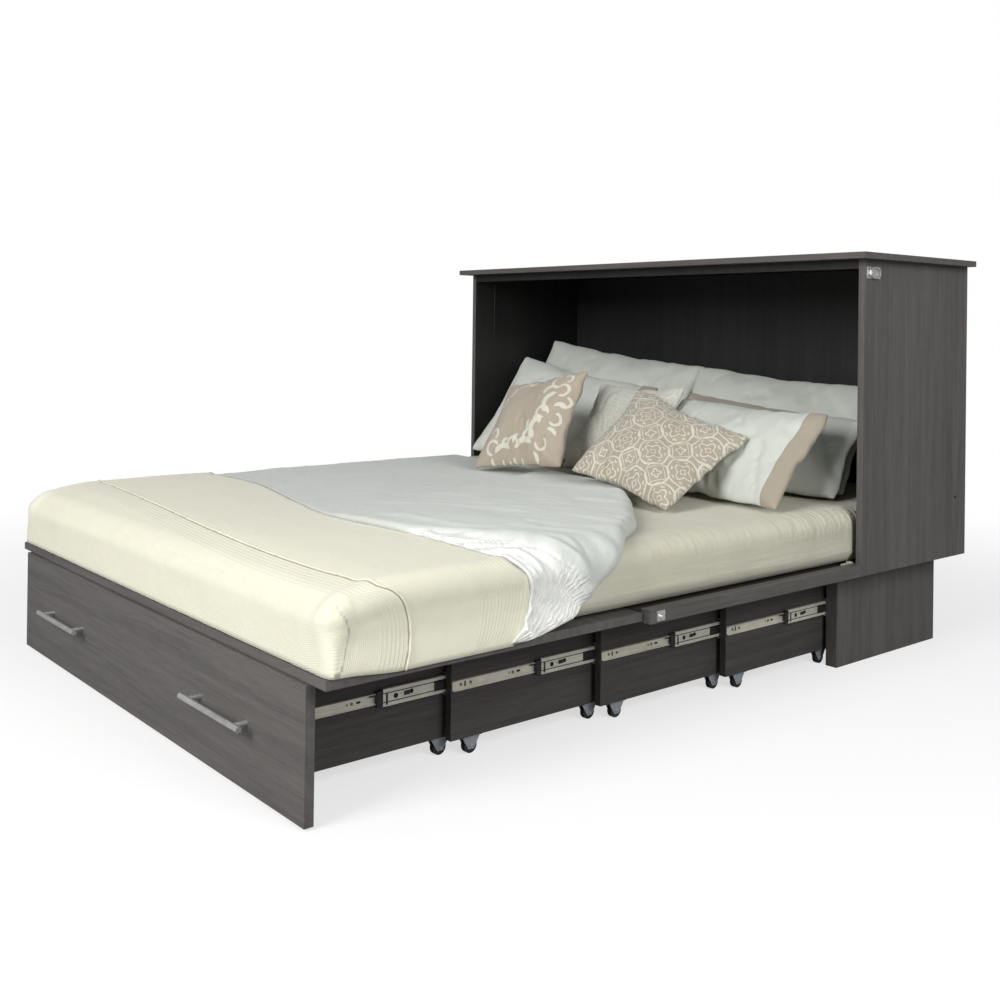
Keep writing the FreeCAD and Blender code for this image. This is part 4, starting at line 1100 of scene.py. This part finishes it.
@dataclass
class Duvet:
    """Crumpled duvet whose corner slides down the bed's right side."""
    bed: Bed
    gap: float = 0.0010
    columns: int = 250
    rows: int = 170
    left: float = -0.748
    right: float = 0.924
    head: Knots = (
        (-0.76, -0.115), (-0.50, -0.140), (-0.30, -0.170), (-0.066, -0.216), (0.085, -0.254),
        (0.217, -0.299), (0.326, -0.359), (0.443, -0.454), (0.570, -0.575), (0.694, -0.701),
        (0.755, -0.790), (0.800, -0.845), (0.837, -0.905), (0.870, -0.950), (0.901, -0.995),
        (0.915, -1.055), (0.926, -1.115))
    turned: Knots = (
        (-0.76, -1.20), (0.10, -1.180), (0.230, -1.150), (0.453, -1.117), (0.600, -1.052),
        (0.700, -1.036), (0.760, -1.030), (0.802, -0.986), (0.842, -0.968), (0.892, -0.979),
        (0.912, -1.030), (0.930, -1.090))
    crease: Knots = ((-1.0, 0.06), (-0.811, 0.025), (-0.676, -0.001), (-0.497, -0.059),
                     (-0.267, -0.163), (-0.10, -0.24))

    def zone(self, across: np.ndarray, along: np.ndarray, soft: float = 0.010) -> np.ndarray:
        """1 on the part that is turned back, and 0 on the rest."""
        edge = FRONT + follow(self.turned, across)
        return 1 - smooth_step(along - edge, -soft, soft)

    def height(self, across: np.ndarray, along: np.ndarray, foot: np.ndarray) -> np.ndarray:
        """Thickness of the duvet over the mattress."""
        def turned_by(cosine: float, sine: float) -> np.ndarray:
            """The cloth's places, turned in its plane."""
            return np.stack([across * cosine + along * sine, across * -sine + along * cosine,
                             np.zeros_like(across)], -1)

        right = smooth_step(across, -0.10, 0.45)
        puff = 0.009 + 0.019 * right
        puff *= 0.40 + 0.60 * smooth_step(along - foot, 0.02, 0.22)
        turned = turned_by(0.97, 0.24)
        billow = relief(turned, (1.6, 4.2, 1), 3, 21.0) * 0.0060
        crumple = relief(turned, (3.2, 12.0, 1), 4, 12.0) * 0.0030
        ridge = np.clip(1 - np.abs(relief(turned, (2.2, 7.5, 1), 3, 4.0)) * 3.2, 0, 1) * 0.0065
        line = follow(self.crease, along - FRONT)
        reach = smooth_step(along - FRONT, -0.90, -0.75)
        step = (smooth_step(across - line, 0.0, 0.016) * 0.011
                - 0.006 * np.exp(-((across - line) / 0.006) ** 2)) * reach
        step *= 1 - smooth_step(across, 0.05, 0.45) * 0.6
        main = puff + (billow + crumple + ridge) * (0.22 + 0.78 * right) + step
        slant = turned_by(0.75, 0.66)
        pleats = np.clip(1 - np.abs(relief(slant, (4.5, 21, 1), 4, 8.0)) * 2.4, 0, 1)
        under = 0.006 + 0.011 * pleats + relief(slant, (7, 34, 1), 3, 2.0) * 0.0022
        edge = FRONT + follow(self.turned, across)
        lip = 0.012 * np.exp(-((along - edge - 0.016) / 0.016) ** 2) * right
        zone = self.zone(across, along, 0.007)
        return (main + lip) * (1 - zone) + under * zone

    def lay(self, under: bool) -> tuple[np.ndarray, np.ndarray]:
        """Points of the upper or the under face, and their map."""
        share_u, share_v = np.meshgrid(np.linspace(0, 1, self.columns),
                                       np.linspace(0, 1, self.rows), indexing="ij")
        across = self.left + (self.right - self.left) * share_u
        foot, head = FRONT + follow(BLANKET_HEAD, across), FRONT + follow(self.head, across)
        waves = noise_line(across, 9.0, 4.4) * 0.006 * smooth_step(across, 0.1, 0.5)
        head = np.maximum(head + waves, foot + 0.02)
        along = foot + (head - foot) * share_v
        edge = np.minimum(head - along, (across - self.left) * 1.2)
        edge = np.minimum(edge, (self.right - across) * 1.5)
        rolled = 0.022 + 0.026 * smooth_step(across, 0.0, 0.5)
        roll = np.sqrt(np.clip(1 - (1 - np.clip(edge / rolled, 0, 1)) ** 2, 0, 1))
        height = np.clip(self.height(across, along, foot), 0.003, 0.055) * roll
        rim = (share_u == 0) | (share_u == 1) | (share_v == 0) | (share_v == 1)
        lift = np.where(rim | under, self.gap, self.gap + height + 0.0005)
        return self.bed.over(across, along, lift), np.stack([across, along], -1)

    def build(self) -> bpy.types.Object:
        """The duvet."""
        parts = [sheet_mesh("duvet", *self.lay(under)) for under in (False, True)]
        mesh = welded("duvet_cover", parts, 0.0001)
        flat = chart_at_points(mesh)
        zone = mesh.attributes.new("zone", "FLOAT", "POINT")
        zone.data.foreach_set("value", self.zone(flat[:, 0], flat[:, 1]).astype(np.float32))
        piece = new_piece("duvet_cover", mesh, DUVET_CLOTH.material())
        self.bed.squashed(piece, lean=-0.030)
        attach(piece, "cabinet")
        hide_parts("duvet")
        return piece


Corners = tuple[Colour, Colour, Colour, Colour]


@dataclass
class Stuffed:
    """A pillow or cushion: two panels sewn together, filled and set down between four corners."""
    name: str
    node: str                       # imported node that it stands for
    loft: float
    corners: Corners                # top left, top right, bottom right, bottom left, in mm:
    finish: Cloth                   # x, y from the cabinet's front plane, and z
    slot: str = "pillow"
    pressure: float = 5.0
    cells: int = 52
    waist: float = 0.045
    rounding: float = 0.022         # how far the corners draw in
    seed: float = 1.0
    sewn: float = 0.8               # share of the outline kept from the panels
    plump: float = 0.68             # below 1, fuller towards the edges
    dent: float = 0.013
    crease: float = 0.0075
    ripple: float = 0.045
    piece: bpy.types.Object | None = None

    def spans(self) -> tuple[float, float]:
        """Mean length and depth between the corners."""
        a, b, c, d = (Vector(corner) / 1000 for corner in self.corners)
        return ((b - a).length + (c - d).length) / 2, ((a - d).length + (b - c).length) / 2

    def panels(self) -> None:
        """Two panels that share their outline, slightly apart in the middle."""
        length, depth = self.spans()
        rows = self.cells
        columns = max(12, round(rows * depth / length))
        across, along = np.meshgrid(np.linspace(-1, 1, rows + 1), np.linspace(-1, 1, columns + 1),
                                    indexing="ij")
        dome = np.clip((1 - across ** 4) * (1 - along ** 4), 0, 1) ** 0.6
        parts = []
        for side in (1, -1):
            height = dome * self.loft / 2 * 0.30 * side
            points = np.stack([across * length / 2, along * depth / 2, height], -1)
            parts.append(sheet_mesh("panel", points, points[..., :2]))
        self.piece = new_piece(self.name, welded(self.name, parts, 0.0006))

    def fill(self) -> None:
        """Set the filling's pressure going."""
        cloth = self.piece.modifiers.new("filling", "CLOTH")
        for name, value in {"quality": 6, "mass": 0.2, "tension_stiffness": 30,
                            "compression_stiffness": 20, "shear_stiffness": 12,
                            "bending_stiffness": 0.12, "use_pressure": True,
                            "uniform_pressure_force": self.pressure}.items():
            setattr(cloth.settings, name, value)
        cloth.settings.effector_weights.gravity = 0
        cloth.collision_settings.use_collision = False
        cloth.collision_settings.use_self_collision = False

    def settle(self) -> None:
        """Take the filled shape and set it down between its corners."""
        piece = self.piece
        if piece.modifiers:
            graph = bpy.context.evaluated_depsgraph_get()
            mesh = bpy.data.meshes.new_from_object(piece.evaluated_get(graph))
            piece.modifiers.clear()
            piece.data = mesh
        mesh = piece.data
        points = np.zeros(len(mesh.vertices) * 3)
        mesh.vertices.foreach_get("co", points)
        points = points.reshape(-1, 3)
        points -= (points.max(0) + points.min(0)) / 2
        extent = points.max(0) - points.min(0)
        panel = chart_at_points(mesh) / self.spans()
        flat = (1 - self.sewn) * points[:, :2] / extent[:2] + self.sewn * panel     # -0.5 to 0.5
        height = points[:, 2] / extent[2] * 2
        height = np.sign(height) * np.abs(height) ** self.plump * self.loft / 2
        rounding = (16 * flat[:, 0] ** 2 * flat[:, 1] ** 2) ** 3
        flat = flat * (1 - self.rounding * rounding)[:, None]
        flat *= 1 - self.waist * 2 * (0.25 - flat[:, ::-1] ** 2)
        right, top = flat[:, :1] + 0.5, flat[:, 1:] + 0.5
        tl, tr, br, bl = (np.array(corner) / 1000 + (0, FRONT, 0) for corner in self.corners)
        upper, lower = tl + (tr - tl) * right, bl + (br - bl) * right
        base = lower + (upper - lower) * top
        normal = np.cross(tr - tl + (br - bl), upper - lower)
        normal /= np.linalg.norm(normal, axis=1, keepdims=True)
        edge = np.clip(1 - 4 * np.abs(flat).max(1) ** 2, 0, 1)[:, None]
        dents = relief(base, (4, 4, 4), 3, self.seed) * self.dent * np.sqrt(edge[:, 0])
        slant = np.stack([base[:, 0] + 0.5 * base[:, 2], base[:, 1],
                          base[:, 2] - 0.5 * base[:, 0]], -1)
        folds = np.abs(relief(slant, (9, 4, 3.0), 3, self.seed + 5))
        dents -= np.clip(1 - folds * 4.5, 0, 1) ** 2 * self.crease * self.loft / 0.1
        wave = relief(base, (6, 6, 6), 3, self.seed + 9)[:, None] * (base - base.mean(0))
        wave = wave * self.ripple
        placed = base + normal * (height + dents)[:, None] + wave * (1 - edge)
        mesh.vertices.foreach_set("co", placed.ravel())
        mesh.update()
        mesh.materials.clear()
        mesh.materials.append(self.finish.material())
        mesh.shade_smooth()
        soft = piece.modifiers.new("smooth", "SUBSURF")
        soft.levels = soft.render_levels = 1


@dataclass
class Heap:
    """All the pillows and cushions, filled together."""
    bed: Bed
    band: Colour = (0.40, 0.35, 0.28)
    linen: Colour = (0.47, 0.405, 0.32)
    steps: int = 22                 # frames in which the filling swells

    def stuffed(self) -> list[Stuffed]:
        """Every pillow and cushion."""
        white = PILLOW_CLOTH
        case = {"colour": white.colour, "shade": white.shade, "band": self.band}
        ends = Banded("pillow_end_band", **case, start=0.232)
        tops = Banded("pillow_top_band", **case, start=0.118, along_length=False, until=0.20)
        left = Banded("pillow_left_band", **case, start=0.262)
        scroll = Scrolls("scroll_linen", self.linen)
        lattice = Lattice("lattice_linen", self.linen)
        pale = Lattice("pale_linen", (0.60, 0.60, 0.52), line=(0.72, 0.73, 0.66), cell=0.085,
                       width=0.034, contrast=0.7)
        back, front, cushions = "pillows_back", "pillows_front", "cushions"
        square = {"slot": "cushion", "rounding": 0.0}
        return [
            Stuffed("pillow_back_left", back, 0.105, ((-745, 331, 836), (-8, 345, 762),
                    (-10, 140, 425), (-740, 110, 432)), white, seed=2.0),
            Stuffed("pillow_back_right", back, 0.105, ((-14, 325, 760), (690, 330, 722),
                    (682, 120, 425), (0, 110, 425)), white, seed=3.0),
            Stuffed("pillow_front_left", front, 0.110, ((-713, 162, 778), (-74, 200, 686),
                    (-53, -13, 424), (-685, -107, 443)), left, seed=4.0),
            Stuffed("pillow_middle_right", front, 0.085, ((54, 200, 683), (706, 200, 635),
                    (700, 55, 426), (80, -55, 424)), tops, seed=5.0),
            Stuffed("pillow_front_right", front, 0.105, ((150, 60, 672), (705, 30, 656),
                    (730, -236, 423), (150, -190, 423)), ends, seed=6.0),
            Stuffed("cushion_scroll", cushions, 0.100, ((-391, -170, 683), (-41, -150, 752),
                    (30, -325, 470), (-330, -365, 438)), scroll, seed=7.0, cells=44, **square),
            Stuffed("cushion_pale", cushions, 0.090, ((-141, 0, 704), (222, 0, 712),
                    (185, -150, 432), (-180, -140, 440)), pale, seed=8.0, cells=44, **square),
            Stuffed("cushion_lattice", cushions, 0.110, ((108, -80, 705), (545, -125, 588),
                    (566, -460, 426), (171, -420, 486)), lattice, seed=9.0, cells=46, **square),
        ]

    def build(self) -> None:
        """Fill, settle and attach every piece."""
        heap = self.stuffed()
        for item in heap:
            item.panels()
            item.fill()
        for step in range(1, self.steps + 1):
            bpy.context.scene.frame_set(step)
        for item in heap:
            item.settle()
            self.bed.squashed(item.piece)
            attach(item.piece, "cabinet")
            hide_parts(item.node)
            LOG.info("%s settled", item.name)


# ---- Small fittings, in rows ----

class Shape(Enum):
    """Outline of one fitting in a row."""
    ROUND = "GeometryNodeMeshCylinder"
    SQUARE = "GeometryNodeMeshCube"


class Row:
    """A row of equal small fittings, built by a node tree with named inputs."""

    def __init__(self, shape: Shape, finish: bpy.types.Material) -> None:
        """Build the tree for one shape and finish."""
        tree = bpy.data.node_groups.new(f"row_{shape.name.lower()}", "GeometryNodeTree")
        tree.interface.new_socket("Geometry", in_out="OUTPUT", socket_type="NodeSocketGeometry")
        kinds = {"Count": "NodeSocketInt", "Start": "NodeSocketVector", "Step": "NodeSocketVector",
                 "Size": "NodeSocketVector", "Turn": "NodeSocketVector"}
        self.identifiers = {name: tree.interface.new_socket(
            name, in_out="INPUT", socket_type=kind).identifier for name, kind in kinds.items()}
        source, result = tree.nodes.new("NodeGroupInput"), tree.nodes.new("NodeGroupOutput")
        line = tree.nodes.new("GeometryNodeMeshLine")
        part = tree.nodes.new(shape.value)
        if shape is Shape.ROUND:
            part.inputs["Vertices"].default_value = 20
            part.inputs["Radius"].default_value = 0.5
            part.inputs["Depth"].default_value = 1.0
        place = tree.nodes.new("GeometryNodeInstanceOnPoints")
        real = tree.nodes.new("GeometryNodeRealizeInstances")
        paint = tree.nodes.new("GeometryNodeSetMaterial")
        paint.inputs["Material"].default_value = finish
        for first, second in (
                (source.outputs["Count"], line.inputs["Count"]),
                (source.outputs["Start"], line.inputs["Start Location"]),
                (source.outputs["Step"], line.inputs["Offset"]),
                (line.outputs[0], place.inputs["Points"]),
                (part.outputs["Mesh"], place.inputs["Instance"]),
                (source.outputs["Turn"], place.inputs["Rotation"]),
                (source.outputs["Size"], place.inputs["Scale"]),
                (place.outputs[0], real.inputs[0]), (real.outputs[0], paint.inputs[0]),
                (paint.outputs[0], result.inputs[0])):
            tree.links.new(first, second)
        self.tree = tree
        self.turn = (0.0, math.pi / 2, 0.0) if shape is Shape.ROUND else (0.0, 0.0, 0.0)

    def mesh(self, start: Sequence[float], step: Sequence[float], count: int,
             size: Sequence[float]) -> bpy.types.Mesh:
        """Build one row.

        Args:
            start: middle of the first fitting.
            step: from each fitting to the next.
            count: how many there are.
            size: width, depth and height of one. Round ones are turned to face out.

        Returns:
            The row as a mesh of its own.
        """
        holder = in_scene("row", bpy.data.meshes.new("row"))
        nodes = holder.modifiers.new("row", "NODES")
        nodes.node_group = self.tree
        values = {"Count": count, "Start": start, "Step": step, "Size": size,
                  "Turn": self.turn}
        for name, value in values.items():
            nodes[self.identifiers[name]] = value
        graph = bpy.context.evaluated_depsgraph_get()
        mesh = bpy.data.meshes.new_from_object(holder.evaluated_get(graph))
        bpy.data.objects.remove(holder)
        return mesh


@dataclass(frozen=True)
class Spot:
    """A fitting, or a short row of them, on the outer face of a slide."""
    row: str
    along: float                    # from the slide's front end
    size: Colour
    up: float = 0.0                 # from the slide's middle
    out: float = 0.0
    count: int = 1
    step: float = 0.0


# Near-black discs and a slot for the holes in the narrow slide members: painted shade.
DENTS = (Spot("slot", 0.034, (0.0008, 0.0035, 0.010)),
         Spot("hole", 0.150, (0.0035, 0.0035, 0.0008)),
         Spot("hole", 0.175, (0.0045, 0.011, 0.0008)))
SCREWS = (Spot("screw", 0.023, (0.0065, 0.0065, 0.0016), count=2, step=0.025),
          Spot("screw", 0.160, (0.0065, 0.0065, 0.0016)))
LEVERS_AND_SHADE = (Spot("bar", -0.007, (0.008, 0.014, 0.029), out=-0.0035),
          Spot("bar", -0.019, (0.004, 0.020, 0.003), 0.0075, -0.0045),
          Spot("bar", 0.009, (0.0012, 0.0042, 0.022), -0.003),
          Spot("bar", 0.056, (0.0010, 0.014, 0.0085), 0.001),
          # Painted shade: two thin black strips for the grooves along the wide member.
          Spot("bar", 0.075, (0.0006, 0.150, 0.0018), -0.0088),
          Spot("bar", 0.075, (0.0006, 0.150, 0.0018), 0.0088),
          # Painted shade: a black plate for the shadowed open end of the wide member, between its
          # rims.
          Spot("bar", 0.140, (0.0006, 0.036, 0.021)))
# Near-black discs for the holes in the wide slide members: painted shade.
LEVER_HOLES = (Spot("hole", 0.030, (0.0100, 0.0100, 0.0010)),
               Spot("hole", 0.043, (0.002, 0.002, 0.0010), 0.001),
               Spot("hole", 0.067, (0.0090, 0.0090, 0.0010), 0.002))


@dataclass
class Fittings:
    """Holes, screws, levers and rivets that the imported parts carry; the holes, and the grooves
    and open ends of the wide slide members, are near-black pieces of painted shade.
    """
    face: float = 0.0012            # narrow slide member beyond its segment's outer face
    web: float = 0.0099             # the same for the intermediate member
    cap: Colour = (0.008, 0.008, 0.0010)
    rivet: Colour = (0.0062, 0.0062, 0.0012)
    head: Colour = (0.0055, 0.0055, 0.0016)

    def piece(self, name: str, body: str, meshes: Sequence[bpy.types.Mesh],
              finish: bpy.types.Material, slot: str) -> None:
        """Join meshes to one piece that rides on a body."""
        made = new_piece(name, welded(name, meshes, 0.00001), finish, False)
        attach(made, body)

    def sided(self, row: Row, place: Sequence[float], size: Sequence[float], count: int = 1,
              step: float = 0.0) -> list[bpy.types.Mesh]:
        """The same row on both sides of the bed, facing out."""
        x, y, z = place
        return [row.mesh((side * x, y, z), (0.0, step, 0.0), count, size) for side in (1, -1)]

    def slides(self) -> None:
        """Holes and screws of the narrow members, and the levers and grooves of the wide ones;
        holes, grooves and the wide members' open ends are near-black painted shade.
        """
        dark, brass, black = HOLE_SHADE_AND_CAPS.material(), BRASS.material(), BLACK_PLASTIC_AND_SHADE.material()
        rows = {"hole": Row(Shape.ROUND, dark), "slot": Row(Shape.SQUARE, dark),
                "screw": Row(Shape.ROUND, brass), "bar": Row(Shape.SQUARE, black)}
        middle = sum(corner.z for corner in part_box("runner_1")) / 2
        for number, stage in enumerate(STAGES, start=1):
            low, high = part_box(f"{stage}_sides")
            runner = f"runner_{number}"
            narrow, wide = (high.x + self.face, low.y), (high.x + self.web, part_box(runner)[0].y)
            for name, body, (x, y), spots, finish, slot in (
                    (f"{stage}_slide_holes", stage, narrow, DENTS, dark, "tyre"),
                    (f"{stage}_slide_screws", stage, narrow, SCREWS, brass, "zinc"),
                    (f"{runner}_levers", runner, wide, LEVERS_AND_SHADE, black, "tyre"),
                    (f"{runner}_holes", runner, wide, LEVER_HOLES, dark, "tyre")):
                meshes = []
                for spot in spots:
                    place = (x + spot.out, y + spot.along, middle + spot.up)
                    meshes += self.sided(rows[spot.row], place, spot.size, spot.count, spot.step)
                self.piece(name, body, meshes, finish, slot)

    def rivets(self) -> None:
        """Bright axle rivets on the caster forks."""
        finish = NICKEL.material()
        row = Row(Shape.ROUND, finish)
        for stage in STAGES:
            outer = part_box(f"{stage}_sides")[1].x - 0.005
            meshes = []
            for end in ("front", "rear"):
                low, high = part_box(f"{stage}_wheels_{end}")
                place = (outer, (low.y + high.y) / 2, (low.z + high.z) / 2)
                meshes += self.sided(row, place, self.rivet)
            self.piece(f"{stage}_rivets", stage, meshes, finish, "nickel")

    def caps(self) -> None:
        """Cover caps on the cabinet sides and screw heads on the latch plates."""
        dark, finish = HOLE_SHADE_AND_CAPS.material(), NICKEL.material()
        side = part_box("cabinet_side_right")[1].x
        caps = self.sided(Row(Shape.ROUND, dark), (side, FRONT + 0.452, 0.4145), self.cap)
        self.piece("cabinet_caps", "cabinet", caps, dark, "tyre")
        low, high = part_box("latch_plates")
        place = (side + 0.002, high.y - 0.007, (low.z + high.z) / 2)
        heads = self.sided(Row(Shape.ROUND, finish), place, self.head)
        self.piece("latch_screws", "cabinet", heads, finish, "nickel")

    def build(self) -> None:
        """Make every row."""
        self.slides()
        self.rivets()
        self.caps()
        LOG.info("fittings made")


# ---- Everything in order ----

def main() -> None:
    """Build the studio, dress the frame and make the bed."""
    logging.basicConfig(level=logging.INFO, format="%(message)s")
    bed = Bed()
    Heap(bed).build()
    Studio().build()
    Frame().build()
    Fittings().build()
    for soft in (Mattress(bed), Blanket(bed), Duvet(bed)):
        LOG.info("%s made", soft.build().name)
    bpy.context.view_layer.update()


if __name__ == "__main__":
    main()
